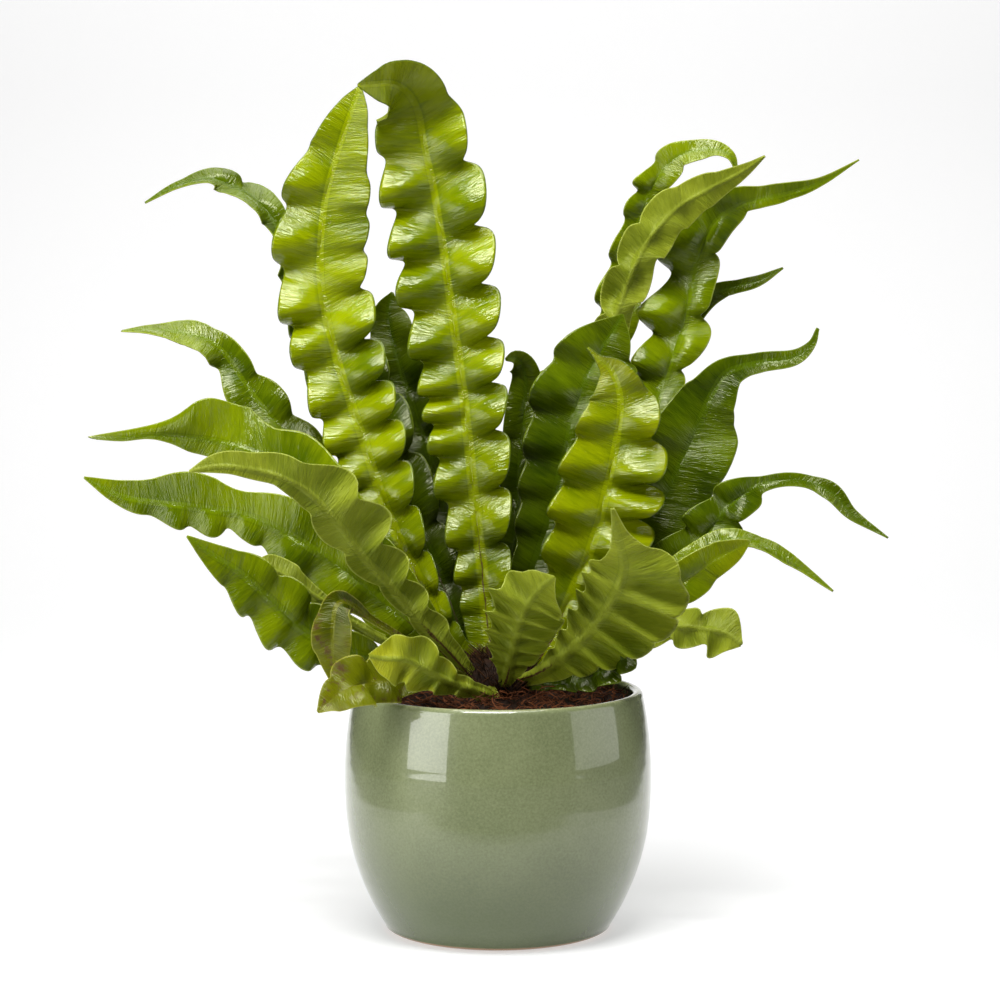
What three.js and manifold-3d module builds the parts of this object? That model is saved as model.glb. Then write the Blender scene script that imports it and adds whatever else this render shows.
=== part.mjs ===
// Wavy-leaved bird's-nest fern growing in a round glazed pot.
//
// Millimetres, +Z up. The origin is the centre of the flat foot that the pot stands on.
// The long fronds lean to -X and +X, and the front of the plant looks along -Y.
//
// The pot, the growing medium, the crown and every frond are separate closed solids.
// A frond is one strap-shaped blade. It is carried along a rib line, widens out of a
// narrow stalk, and its two halves ripple more and more towards the waved margins.

import * as THREE from 'three';
import { mergeVertices } from 'three/addons/utils/BufferGeometryUtils.js';
import Module from 'manifold-3d';

const wasm = await Module();
wasm.setup();

// ---------------------------------------------------------------- driving dimensions

const GAP = 0.3; // clearance between pieces that touch

const POT = {
  bellyRadius: 80.4, // widest outside radius
  bellyHeight: 80, // height of the widest place
  footTuck: 0.285, // share of the belly radius that is lost at the bottom
  footPower: 2.35, // how late the side turns in towards the foot
  footRadius: 52, // flat disc that it stands on
  footRound: 3, // height of the rounded edge of the foot
  shoulderDrop: 5, // how far the side turns in below the lip
  shoulderRise: 45, // height over which it turns in
  height: 126,
  mouthRadius: 70,
  lipRound: 3, // height of the rounded lip
  flare: 0.12, // how fast the inside widens below the mouth
  wall: 5.5,
  floor: 8,
  floorRound: 6, // corner between the wall and the floor inside
  sides: 36,
};

const SOIL = {
  rimHeight: 120, // where it meets the pot
  crownHeight: 126, // where it meets the crown
  rings: [56, 42, 30, 20, 8], // radii at which the top is shaped
  lumpHeight: 0.9, // lumps of the coir
  lumpLength: 22, // from one lump to the next
};

const CROWN = {
  bottom: 98,
  bottomRadius: 15,
  neck: 112, // height at which it has nearly its full radius
  neckRadius: 21,
  waist: 127, // just above the growing medium, where it is widest
  radius: 23,
  top: 145,
  sides: 20,
};

const BLADE = {
  edgeThickness: 0.7,
  stalkEdge: 0.8, // how much thicker the margin is at the foot of the stalk
  ribThickness: 2.4, // at the stalk
  ribTipThickness: 0.9,
  tipHalf: 0.5, // least half width, at the tip
  cup: 0.14, // how far both halves stand up from the rib, as a share of the half width
  sweep: 0.22, // how far the margins run ahead towards the tip
  scallop: 0.55, // how far the waves pull the outline in and out, as a share of their height
  slip: 0.4, // how far the waves slide along the rib, as a share of what would fold them over
  lag: 2.2, // how far the waves of one margin trail those of the other, in radians
  start: 1.7, // how far each frond's waves are shifted from the last one's, in radians
  drift: 0.5, // how far the waves stray from an even spacing, in radians
  driftCycles: 3.05, // how often they do along the frond
  swell: 0.18, // how far the waves grow and shrink, as a share of their height
  swellCycles: 2.7, // how often they do along the frond
  stalkShare: 0.14, // share of the frond over which the waves rise from the stalk
  tipShare: 0.16, // and over which they die out at the tip
};

const COLOURS = {
  glaze: 0x8c9b73,
  coir: 0x5a3320,
  crown: 0x4a3320,
  bright: 0x8aa51e,
  green: 0x648c1e,
  dark: 0x3f6214,
  pale: 0x7d8f45,
  yellow: 0x8f8f2a,
};

// ---------------------------------------------------------------- fronds
// name, look, waves from stalk to tip, height of the waves as a share of the half width,
// steps along the blade, and the rib from the crown to the tip. Each rib point holds
// x, y, z, the turn of the blade in degrees and its half width. At a turn of 0 the upper
// face looks to the front (-Y), or upwards where the frond leans back. At 180 the front
// view shows its underside.

const FRONDS = [
  {
    name: 'frond_tall_left',
    look: 'bright',
    faces: 'front',
    waves: 13,
    ruffle: 0.28,
    steps: 44,
    rib: [
      [-7, 6, 133, 0, 2.6],
      [-26, 9, 149, 0, 5],
      [-39, 14, 176, 0, 9],
      [-57, 20, 213, 4, 15],
      [-72, 26, 257, 6, 20],
      [-86, 31, 300, 6, 22],
      [-94, 35, 339, 4, 24],
      [-92, 38, 379, 0, 23.5],
      [-83, 40, 413, -4, 14.5],
      [-77, 40, 430, -8, 9],
      [-73, 40, 442, -10, 1],
    ],
  },
  {
    name: 'frond_tall_centre',
    look: 'bright',
    faces: 'front',
    waves: 14,
    ruffle: 0.27,
    steps: 46,
    rib: [
      [-1, 8, 137, 0, 2.6],
      [-5, 12, 155, 0, 6],
      [-9, 17, 192, 0, 12],
      [-13, 22, 229, 0, 18],
      [-19, 27, 284, 0, 21],
      [-26, 31, 334, 0, 24],
      [-32, 33, 376, 0, 25],
      [-39, 34, 410, 0, 23],
      [-44, 33, 432, 0, 15.5],
      [-55, 31, 442, 0, 8],
      [-71, 29, 439, 0, 1],
    ],
  },
  {
    name: 'frond_left_inner',
    look: 'dark',
    faces: 'front',
    waves: 8,
    ruffle: 0.26,
    steps: 28,
    rib: [
      [-6, 14, 132, 0, 2.6],
      [-19, 42, 181, 0, 8],
      [-33, 58, 231, 0, 14],
      [-46, 68, 269, 0, 18],
      [-56, 76, 301, 0, 14],
      [-60, 81, 321, 5, 9],
      [-58, 84, 333, 10, 0.8],
    ],
  },
  {
    name: 'frond_left_arch',
    look: 'dark',
    faces: 'front',
    waves: 10,
    ruffle: 0.28,
    steps: 36,
    rib: [
      [-10, 11, 131, 0, 2.6],
      [-35, 32, 190, 8, 8.5],
      [-64, 46, 248, 12, 16],
      [-89, 58, 302, 16, 21],
      [-105, 67, 340, 24, 17],
      [-119, 74, 372, 48, 10.5],
      [-135, 76, 389, 58, 8.5],
      [-158, 74, 396, 58, 6.5],
      [-176, 71, 390, 58, 3.5],
      [-191, 68, 381, 50, 0.7],
    ],
  },
  {
    name: 'frond_left_twist',
    look: 'green',
    faces: 'front',
    waves: 8,
    ruffle: 0.36,
    steps: 34,
    rib: [
      [-14, 7, 129, 0, 2.6],
      [-31, 18, 155, 17, 4],
      [-48, 25, 175, 20, 7.5],
      [-69, 34, 198, 24, 12],
      [-99, 42, 235, 34, 16],
      [-117, 46, 260, 36, 16],
      [-132, 49, 281, 22, 14],
      [-141, 50, 296, 12, 9.5],
      [-153, 49, 308, 46, 9.5],
      [-170, 47, 311, 56, 8.5],
      [-187, 44, 312, 62, 3.5],
      [-201, 42, 312, 60, 0.6],
    ],
  },
  {
    name: 'frond_left_upper',
    look: 'green',
    faces: 'front',
    waves: 7,
    ruffle: 0.18,
    steps: 28,
    rib: [
      [-17, 3, 131, 0, 2.6],
      [-36, 5, 155, 26, 5.5],
      [-74, 7, 202, 32, 10],
      [-108, 13, 241, 38, 14.5],
      [-130, 16, 253, 42, 17],
      [-153, 17, 259, 44, 15.5],
      [-173, 16, 260, 48, 8],
      [-189, 15, 257, 54, 3.4],
      [-211, 14, 256, 50, 0.6],
    ],
  },
  {
    name: 'frond_left_middle',
    look: 'green',
    faces: 'front',
    waves: 9,
    ruffle: 0.22,
    steps: 32,
    rib: [
      [-19, 0, 129, 10, 2.6],
      [-31, -3, 148, 30, 5.5],
      [-57, -7, 170, 34, 12.5],
      [-86, -10, 194, 38, 15.5],
      [-111, -11, 209, 40, 17],
      [-136, -9, 220, 42, 17],
      [-162, -8, 224, 44, 14],
      [-185, -7, 228, 44, 10.5],
      [-201, -6, 233, 48, 5],
      [-215, -5, 237, 40, 0.6],
    ],
  },
  {
    name: 'frond_left_low',
    look: 'green',
    faces: 'front',
    waves: 7,
    ruffle: 0.26,
    steps: 28,
    rib: [
      [-19, -9, 129, 20, 2.6],
      [-35, -22, 141, 38, 5.5],
      [-63, -30, 148, 42, 10],
      [-89, -42, 159, 44, 18],
      [-107, -50, 174, 44, 19],
      [-124, -54, 188, 44, 17],
      [-138, -56, 198, 44, 11],
      [-147, -58, 205, 48, 5.5],
      [-155, -60, 212, 40, 0.7],
    ],
  },
  {
    name: 'frond_front_left',
    look: 'pale',
    faces: 'front',
    waves: 9,
    ruffle: 0.24,
    steps: 30,
    rib: [
      [-12, -12, 132, 180, 2.6],
      [-26, -22, 153, 168, 6.5],
      [-49, -36, 181, 168, 12.5],
      [-66, -50, 206, 168, 18],
      [-83, -64, 226, 168, 19],
      [-102, -76, 241, 168, 16],
      [-122, -84, 246, 168, 9.5],
      [-138, -88, 247, 168, 5],
      [-150, -90, 243, 180, 0.6],
    ],
  },
  {
    name: 'frond_left_short',
    look: 'pale',
    faces: 'front',
    waves: 5,
    ruffle: 0.26,
    steps: 16,
    rib: [
      [-19, -6, 130, 180, 2.6],
      [-33, -12, 147, 193, 4],
      [-62, -20, 167, 198, 6.5],
      [-88, -30, 179, 203, 9.5],
      [-109, -32, 190, 208, 9.5],
      [-123, -33, 197, 200, 0.8],
    ],
  },
  {
    name: 'frond_left_spotted',
    look: 'yellow',
    faces: 'front',
    waves: 5,
    ruffle: 0.22,
    steps: 18,
    rib: [
      [-15, -13, 129, 0, 2.6],
      [-30, -32, 145, 10, 4],
      [-50, -48, 165, 12, 8],
      [-68, -58, 173, 14, 11],
      [-79, -60, 164, 20, 11],
      [-82, -59, 152, 20, 8],
      [-83, -57, 139, 20, 0.8],
    ],
  },
  {
    name: 'frond_rim_left',
    look: 'yellow',
    faces: 'front',
    waves: 5,
    ruffle: 0.24,
    steps: 20,
    rib: [
      [-13, -17, 130, 10, 2.6],
      [-28, -36, 140, 24, 4],
      [-45, -54, 138, 28, 9],
      [-64, -68, 139, 28, 13],
      [-78, -76, 135, 26, 11],
      [-89, -80, 126, 24, 0.8],
    ],
  },
  {
    name: 'frond_front_curl',
    look: 'pale',
    faces: 'front',
    waves: 5,
    ruffle: 0.3,
    steps: 22,
    rib: [
      [-5, -20, 130, 180, 2.6],
      [-12, -38, 139, 188, 5],
      [-26, -54, 146, 194, 11],
      [-40, -68, 155, 196, 14],
      [-53, -76, 159, 190, 9],
      [-64, -80, 156, 190, 0.8],
    ],
  },
  {
    name: 'frond_bright_right',
    look: 'bright',
    faces: 'front',
    waves: 8,
    ruffle: 0.24,
    steps: 30,
    rib: [
      [9, 4, 134, 0, 2.6],
      [25, 6, 146, 0, 6],
      [38, 7, 174, 0, 17],
      [50, 9, 203, 0, 25],
      [58, 11, 235, 0, 25.5],
      [63, 13, 261, 0, 21],
      [64, 14, 278, 0, 16],
      [60, 15, 291, -10, 8],
      [53, 15, 298, -15, 2.5],
      [47, 15, 304, -15, 0.6],
    ],
  },
  {
    name: 'frond_dark_centre',
    look: 'dark',
    faces: 'front',
    waves: 8,
    ruffle: 0.24,
    steps: 28,
    rib: [
      [3, 12, 136, 0, 2.6],
      [13, 20, 170, 0, 8],
      [26, 28, 207, 0, 17],
      [35, 34, 244, 0, 22],
      [43, 40, 276, 0, 24],
      [53, 45, 298, 0, 20],
      [61, 48, 311, 4, 11],
      [67, 51, 321, 8, 0.8],
    ],
  },
  {
    name: 'frond_young_fist',
    look: 'dark',
    faces: 'front',
    waves: 5,
    ruffle: 0.22,
    steps: 22,
    rib: [
      [1, 16, 135, 0, 2.6],
      [6, 36, 169, 0, 4],
      [10, 44, 211, 0, 5],
      [12, 49, 248, 0, 6],
      [14, 52, 274, 0, 9],
      [15, 52, 285, 0, 9],
      [13, 49, 294, 0, 7],
      [9, 46, 298, 0, 4],
      [4, 44, 297, 0, 0.8],
    ],
  },
  {
    name: 'frond_loop_right',
    look: 'dark',
    faces: 'front',
    waves: 10,
    ruffle: 0.46,
    steps: 40,
    rib: [
      [8, 14, 133, 0, 2.6],
      [23, 42, 179, 0, 6],
      [40, 60, 231, 0, 10],
      [50, 71, 274, 0, 13],
      [56, 78, 312, 0, 14],
      [61, 81, 342, 10, 14],
      [72, 83, 373, 15, 12],
      [82, 83, 394, 0, 10],
      [97, 81, 408, -20, 9],
      [115, 79, 412, -30, 6],
      [127, 77, 407, -40, 4],
      [130, 75, 396, -50, 0.6],
    ],
  },
  {
    name: 'frond_curl_right',
    look: 'pale',
    faces: 'front',
    waves: 10,
    ruffle: 0.42,
    steps: 40,
    rib: [
      [11, 12, 134, 180, 2.6],
      [31, 36, 185, 180, 6],
      [48, 44, 238, 180, 10],
      [56, 55, 280, 186, 12],
      [60, 56, 313, 190, 11],
      [69, 55, 338, 176, 11.5],
      [78, 52, 359, 180, 13],
      [96, 50, 378, 186, 14],
      [116, 47, 387, 190, 9],
      [131, 43, 397, 195, 3.5],
      [142, 41, 405, 200, 0.6],
    ],
  },
  {
    name: 'frond_right_high',
    look: 'green',
    faces: 'front',
    waves: 9,
    ruffle: 0.36,
    steps: 40,
    rib: [
      [15, 9, 132, 0, 2.6],
      [40, 27, 175, -8, 6],
      [64, 41, 222, -8, 12.5],
      [85, 51, 270, -8, 14.5],
      [97, 63, 304, -8, 19],
      [102, 69, 334, -8, 16.5],
      [105, 72, 355, -8, 16.5],
      [114, 69, 373, -28, 15.5],
      [133, 62, 381, -42, 12.5],
      [154, 60, 387, -48, 10.5],
      [174, 58, 391, -52, 4],
      [194, 56, 404, -50, 0.6],
    ],
  },
  {
    name: 'frond_right_back',
    look: 'dark',
    faces: 'front',
    waves: 7,
    ruffle: 0.34,
    steps: 30,
    rib: [
      [15, 15, 131, 0, 2.6],
      [46, 45, 178, 0, 7],
      [77, 63, 247, 0, 12],
      [100, 80, 299, -10, 15],
      [111, 84, 320, -20, 12],
      [123, 85, 334, -36, 7],
      [138, 84, 339, -44, 4.5],
      [156, 82, 346, -50, 0.6],
    ],
  },
  {
    name: 'frond_right_wide',
    look: 'dark',
    faces: 'front',
    waves: 9,
    ruffle: 0.2,
    steps: 34,
    rib: [
      [18, 5, 130, 0, 2.6],
      [42, 18, 157, -8, 6],
      [65, 26, 191, -8, 14.5],
      [86, 32, 220, -8, 22],
      [100, 36, 244, -8, 24],
      [109, 39, 268, -8, 23],
      [116, 40, 282, -22, 15.5],
      [128, 37, 293, -42, 8.5],
      [142, 37, 296, -48, 7],
      [158, 36, 299, -52, 5],
      [167, 35, 306, -38, 2],
      [170, 34, 314, 0, 0.8],
    ],
  },
  {
    name: 'frond_right_fork',
    look: 'dark',
    faces: 'front',
    waves: 8,
    ruffle: 0.2,
    steps: 32,
    rib: [
      [20, -1, 128, 0, 2.6],
      [42, 4, 146, -22, 4],
      [75, 11, 176, -28, 10],
      [106, 13, 200, -32, 15.5],
      [124, 15, 220, -38, 14.5],
      [141, 18, 229, -44, 8],
      [159, 17, 234, -48, 6],
      [175, 16, 228, -50, 9],
      [189, 14, 214, -54, 5],
      [205, 12, 204, -44, 0.6],
    ],
  },
  {
    name: 'frond_right_thin',
    look: 'green',
    faces: 'front',
    waves: 6,
    ruffle: 0.16,
    steps: 24,
    rib: [
      [19, -5, 128, 0, 2.6],
      [43, -5, 144, -26, 4],
      [79, -3, 172, -32, 7.5],
      [105, -2, 196, -36, 9],
      [122, -2, 205, -46, 6],
      [139, -3, 201, -48, 5],
      [156, -5, 191, -50, 3.6],
      [174, -7, 178, -40, 0.6],
    ],
  },
  {
    name: 'frond_right_yellow',
    look: 'yellow',
    faces: 'front',
    waves: 5,
    ruffle: 0.2,
    steps: 20,
    rib: [
      [20, -8, 129, 0, 2.6],
      [45, -11, 139, -28, 4],
      [69, -14, 160, -32, 8],
      [94, -14, 180, -38, 12.5],
      [112, -14, 193, -40, 12.5],
      [130, -14, 204, -30, 1],
    ],
  },
  {
    name: 'frond_front_right',
    look: 'pale',
    faces: 'front',
    waves: 6,
    ruffle: 0.2,
    steps: 28,
    rib: [
      [8, -15, 132, 180, 2.6],
      [23, -28, 139, 180, 5],
      [40, -40, 152, 180, 13],
      [53, -50, 168, 178, 21],
      [62, -60, 184, 176, 23],
      [64, -66, 199, 172, 14],
      [61, -70, 210, 168, 6],
      [57, -74, 224, 166, 0.8],
    ],
  },
  {
    name: 'frond_right_low',
    look: 'pale',
    faces: 'front',
    waves: 6,
    ruffle: 0.22,
    steps: 24,
    rib: [
      [18, -12, 130, 178, 2.6],
      [38, -20, 139, 162, 4],
      [60, -27, 150, 158, 8.5],
      [80, -31, 161, 158, 13],
      [100, -36, 161, 158, 15],
      [114, -38, 160, 158, 13],
      [124, -39, 154, 170, 1],
    ],
  },
  {
    name: 'frond_right_low_dark',
    look: 'dark',
    faces: 'front',
    waves: 6,
    ruffle: 0.28,
    steps: 20,
    rib: [
      [16, -17, 130, -10, 2.4],
      [30, -28, 132, -36, 3],
      [42, -28, 134, -40, 7],
      [54, -33, 140, -40, 9],
      [65, -37, 148, -40, 8],
      [73, -39, 157, -40, 0.8],
    ],
  },
  {
    name: 'frond_front_centre',
    look: 'pale',
    faces: 'front',
    waves: 6,
    ruffle: 0.24,
    steps: 20,
    rib: [
      [2, -20, 130, 180, 2.6],
      [6, -28, 136, 180, 6],
      [9, -40, 152, 180, 17],
      [15, -52, 168, 180, 18],
      [21, -60, 183, 176, 11],
      [26, -64, 193, 172, 0.8],
    ],
  },
  {
    name: 'frond_back_tall_left',
    look: 'green',
    faces: 'up',
    waves: 8,
    ruffle: 0.26,
    steps: 26,
    rib: [
      [-6, 20, 132, 0, 2.6],
      [-12, 54, 172, 0, 8],
      [-22, 84, 216, 0, 15],
      [-34, 106, 256, 0, 19],
      [-47, 122, 286, 0, 12],
      [-60, 132, 300, 0, 0.8],
    ],
  },
  {
    name: 'frond_back_tall_right',
    look: 'green',
    faces: 'up',
    waves: 8,
    ruffle: 0.26,
    steps: 26,
    rib: [
      [7, 19, 132, 0, 2.6],
      [11, 48, 180, 0, 8],
      [17, 76, 230, 0, 16],
      [27, 96, 268, 0, 19],
      [37, 110, 288, 0, 12],
      [48, 118, 296, 0, 0.8],
    ],
  },
  {
    name: 'frond_back_left',
    look: 'dark',
    faces: 'up',
    waves: 7,
    ruffle: 0.26,
    steps: 24,
    rib: [
      [-14, 15, 130, 0, 2.6],
      [-34, 44, 168, 0, 8],
      [-58, 76, 205, 0, 15],
      [-84, 102, 228, 0, 16],
      [-108, 118, 230, 0, 9],
      [-126, 124, 220, 0, 0.8],
    ],
  },
  {
    name: 'frond_back_right',
    look: 'dark',
    faces: 'up',
    waves: 7,
    ruffle: 0.26,
    steps: 24,
    rib: [
      [11, 20, 129, 0, 2.6],
      [29, 54, 162, 0, 7],
      [54, 86, 196, 0, 15],
      [80, 112, 220, 0, 16],
      [102, 128, 226, 0, 9],
      [118, 138, 216, 0, 0.8],
    ],
  },
  {
    name: 'frond_back_low_left',
    look: 'green',
    faces: 'up',
    waves: 6,
    ruffle: 0.26,
    steps: 22,
    rib: [
      [-19, 9, 128, 0, 2.6],
      [-44, 40, 150, 0, 7],
      [-74, 74, 168, 0, 14],
      [-102, 100, 168, 0, 12],
      [-122, 114, 152, 0, 0.8],
    ],
  },
  {
    name: 'frond_back_low_right',
    look: 'green',
    faces: 'up',
    waves: 6,
    ruffle: 0.26,
    steps: 22,
    rib: [
      [20, 9, 128, 0, 2.6],
      [47, 41, 148, 0, 7],
      [68, 82, 170, 0, 14],
      [88, 110, 170, 0, 12],
      [102, 128, 154, 0, 0.8],
    ],
  },
  {
    name: 'frond_back_arch_left',
    look: 'bright',
    faces: 'up',
    waves: 7,
    ruffle: 0.26,
    steps: 24,
    rib: [
      [-10, 19, 129, 0, 2.6],
      [-24, 58, 160, 0, 8],
      [-40, 98, 186, 0, 16],
      [-54, 130, 186, 0, 13],
      [-64, 150, 168, 0, 0.8],
    ],
  },
  {
    name: 'frond_back_arch_right',
    look: 'bright',
    faces: 'up',
    waves: 7,
    ruffle: 0.26,
    steps: 24,
    rib: [
      [6, 23, 128, 0, 2.6],
      [14, 62, 146, 0, 8],
      [27, 104, 166, 0, 16],
      [39, 136, 167, 0, 13],
      [48, 154, 154, 0, 0.8],
    ],
  },
  {
    name: 'frond_back_middle',
    look: 'dark',
    faces: 'up',
    waves: 8,
    ruffle: 0.26,
    steps: 26,
    rib: [
      [1, 22, 131, 0, 2.6],
      [2, 64, 162, 0, 8],
      [3, 104, 192, 0, 16],
      [3, 136, 208, 0, 15],
      [4, 156, 212, 0, 9],
      [6, 170, 208, 0, 0.8],
    ],
  },
  {
    name: 'frond_back_low',
    look: 'dark',
    faces: 'up',
    waves: 5,
    ruffle: 0.26,
    steps: 22,
    rib: [
      [-3, 22, 128, 0, 2.6],
      [-8, 60, 146, 0, 7],
      [-8, 98, 158, 0, 13],
      [-8, 130, 156, 0, 11],
      [-8, 152, 146, 0, 0.8],
    ],
  },
];

// ---------------------------------------------------------------- curves

// Point at u (0 to 1 per span) of the smooth curve that passes through every given point.
function curvePoint(points, place) {
  const last = points.length - 1;
  const span = Math.min(Math.floor(place), last - 1);
  const u = place - span;
  const at = (i) => {
    if (i < 0) return points[0].map((value, k) => 2 * value - points[1][k]);
    if (i > last) return points[last].map((value, k) => 2 * value - points[last - 1][k]);
    return points[i];
  };
  const [a, b, c, d] = [at(span - 1), at(span), at(span + 1), at(span + 2)];
  return b.map((_, k) => {
    const linear = (c[k] - a[k]) * u;
    const square = (2 * a[k] - 5 * b[k] + 4 * c[k] - d[k]) * u * u;
    const cube = (3 * b[k] - a[k] - 3 * c[k] + d[k]) * u * u * u;
    return 0.5 * (2 * b[k] + linear + square + cube);
  });
}

// Samples of the rib curve at even distances, so that the waves keep their length.
function evenRib(points, count) {
  const fine = 60 * (points.length - 1);
  const samples = [];
  const lengths = [0];
  for (let i = 0; i <= fine; i += 1) {
    samples.push(curvePoint(points, (i / fine) * (points.length - 1)));
    if (i > 0) {
      const [p, q] = [samples[i - 1], samples[i]];
      lengths.push(lengths[i - 1] + Math.hypot(q[0] - p[0], q[1] - p[1], q[2] - p[2]));
    }
  }
  const even = [];
  let span = 0;
  for (let i = 0; i <= count; i += 1) {
    const goal = (lengths[fine] * i) / count;
    while (span < fine - 1 && lengths[span + 1] < goal) span += 1;
    const share = (goal - lengths[span]) / (lengths[span + 1] - lengths[span]);
    even.push(samples[span].map((value, k) => value + share * (samples[span + 1][k] - value)));
  }
  return { samples: even, length: lengths[fine] };
}

// ---------------------------------------------------------------- blades

const REFERENCE = {
  front: new THREE.Vector3(0, -1, 0),
  up: new THREE.Vector3(0, 0, 1),
};

function smoothStep(from, to, value) {
  const u = Math.min(Math.max((value - from) / (to - from), 0), 1);
  return u * u * (3 - 2 * u);
}

// Middle surface of a blade at one rib sample. t runs from 0 at the stalk to 1 at the tip,
// and side from -1 to 1 across the blade.
function bladePoint(frond, seed, frame, t, side) {
  const { origin, along, across, face, half, radian } = frame;
  const reach = Math.abs(side);
  const lag = side < 0 ? 0 : BLADE.lag;
  const start = BLADE.start * seed;
  const turns = 2 * Math.PI * t;
  const stray = BLADE.drift * Math.sin(BLADE.driftCycles * turns + 2 * lag + start);
  const phase = frond.waves * turns + lag + start + stray;
  const rise = smoothStep(0, BLADE.stalkShare, t);
  const fall = 1 - smoothStep(1 - BLADE.tipShare, 1, t);
  const swell = 1 + BLADE.swell * Math.sin(BLADE.swellCycles * turns + lag + start);
  const crest = rise * fall * swell * Math.cos(phase);
  const slide = rise * fall * swell * Math.sin(phase);
  const out = side * half * (1 + BLADE.scallop * frond.ruffle * crest);
  const lift = half * reach * (BLADE.cup + frond.ruffle * crest);
  const ahead = reach * (rise * fall * BLADE.sweep * half + BLADE.slip * radian * slide);
  return origin.clone()
    .addScaledVector(across, out)
    .addScaledVector(face, lift)
    .addScaledVector(along, ahead);
}

// Frames along the rib: the running direction, the way across and the way the face looks.
// radian is the length of rib that one radian of a wave takes.
function ribFrames(frond) {
  const { samples, length } = evenRib(frond.rib, frond.steps);
  const radian = length / (2 * Math.PI * frond.waves);
  const places = samples.map(([x, y, z]) => new THREE.Vector3(x, y, z));
  const last = places.length - 1;
  return samples.map(([, , , turn, half], i) => {
    const along = places[Math.min(i + 1, last)].clone().sub(places[Math.max(i - 1, 0)]).normalize();
    const aim = REFERENCE[frond.faces];
    const face = aim.clone().addScaledVector(along, -aim.dot(along)).normalize();
    face.applyAxisAngle(along, THREE.MathUtils.degToRad(turn));
    return {
      origin: places[i],
      along,
      across: along.clone().cross(face),
      face,
      half: Math.max(half, BLADE.tipHalf),
      radian,
    };
  });
}

// Thickness of a blade on its rib (side 0) or at its margins.
function bladeThickness(t, side) {
  if (side === 0) {
    return BLADE.ribThickness + (BLADE.ribTipThickness - BLADE.ribThickness) * Math.sqrt(t);
  }
  return BLADE.edgeThickness + BLADE.stalkEdge * (1 - smoothStep(0, BLADE.stalkShare, t));
}

// Closed blade: an upper and a lower skin with the same triangles, joined round the edge.
// grow makes it larger all round, for the hole that it stands in.
function bladeGeometry(frond, seed, grow = 0) {
  const frames = ribFrames(frond);
  const sides = [-1, 0, 1];
  const rows = frames.length;
  const columns = sides.length;
  const middle = frames.map((frame, i) => sides.map((side) => {
    const point = bladePoint(frond, seed, frame, i / (rows - 1), side);
    return point.addScaledVector(frame.across, side * grow);
  }));
  const upper = [];
  const lower = [];
  for (let i = 0; i < rows; i += 1) {
    for (let j = 0; j < columns; j += 1) {
      const ahead = middle[Math.min(i + 1, rows - 1)][j].clone().sub(middle[Math.max(i - 1, 0)][j]);
      const over = middle[i][Math.min(j + 1, columns - 1)].clone().sub(middle[i][Math.max(j - 1, 0)]);
      const normal = ahead.cross(over).normalize().negate();
      const depth = bladeThickness(i / (rows - 1), sides[j]) / 2 + grow;
      upper.push(middle[i][j].clone().addScaledVector(normal, depth));
      lower.push(middle[i][j].clone().addScaledVector(normal, -depth));
    }
  }
  if (grow > 0) {
    const back = frames[0].along.clone().multiplyScalar(-2 * grow);
    for (let j = 0; j < columns; j += 1) {
      upper[j].add(back);
      lower[j].add(back);
    }
  }
  const shift = rows * columns;
  const triangles = [];
  const quad = (a, b, c, d) => triangles.push(a, b, c, a, c, d);
  for (let i = 0; i < rows - 1; i += 1) {
    for (let j = 0; j < columns - 1; j += 1) {
      const [a, b] = [i * columns + j, i * columns + j + 1];
      const [d, c] = [a + columns, b + columns];
      if (j === 0) {
        quad(a, b, c, d);
        triangles.push(a + shift, c + shift, b + shift, a + shift, d + shift, c + shift);
      } else {
        quad(b, c, d, a);
        triangles.push(b + shift, d + shift, c + shift, b + shift, a + shift, d + shift);
      }
    }
    const left = i * columns;
    const right = left + columns - 1;
    quad(left, left + columns, left + columns + shift, left + shift);
    quad(right, right + shift, right + columns + shift, right + columns);
  }
  const tip = (rows - 1) * columns;
  for (let j = 0; j < columns - 1; j += 1) {
    quad(j, j + shift, j + 1 + shift, j + 1);
    quad(tip + j, tip + j + 1, tip + j + 1 + shift, tip + j + shift);
  }
  const geometry = new THREE.BufferGeometry();
  const positions = [...upper, ...lower].flatMap((point) => point.toArray());
  geometry.setAttribute('position', new THREE.Float32BufferAttribute(positions, 3));
  geometry.setIndex(triangles);
  return geometry;
}

// ---------------------------------------------------------------- joining and cutting

function toSolid(geometry) {
  const bare = geometry.clone();
  bare.deleteAttribute('normal');
  bare.deleteAttribute('uv');
  const merged = mergeVertices(bare, 1e-4);
  return new wasm.Manifold(new wasm.Mesh({
    numProp: 3,
    vertProperties: new Float32Array(merged.attributes.position.array),
    triVerts: new Uint32Array(merged.index.array),
  }));
}

function toGeometry(solid) {
  const mesh = solid.getMesh();
  const geometry = new THREE.BufferGeometry();
  geometry.setAttribute('position', new THREE.BufferAttribute(mesh.vertProperties, 3));
  geometry.setIndex(new THREE.BufferAttribute(mesh.triVerts, 1));
  return geometry;
}

// The largest piece of a cut solid, without loose scraps.
function mainPiece(solid) {
  const pieces = solid.decompose();
  return pieces.reduce((best, piece) => (piece.volume() > best.volume() ? piece : best));
}

function spread(from, to, count) {
  return Array.from({ length: count }, (_, i) => from + ((to - from) * i) / (count - 1));
}

// Points of a profile on an upright ellipse, from one angle to another, in degrees.
function ellipseArc(centre, radii, from, to, count) {
  return spread(from, to, count).map((degrees) => {
    const angle = THREE.MathUtils.degToRad(degrees);
    return [centre[0] + radii[0] * Math.cos(angle), centre[1] + radii[1] * Math.sin(angle)];
  });
}

// Solid turned about +Z from a profile of [radius, height] pairs that starts and ends on the axis.
function turned(profile, sides) {
  const geometry = new THREE.LatheGeometry(profile.map(([r, z]) => new THREE.Vector2(r, z)), sides);
  geometry.rotateX(Math.PI / 2);
  return geometry;
}

// ---------------------------------------------------------------- pot

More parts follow.
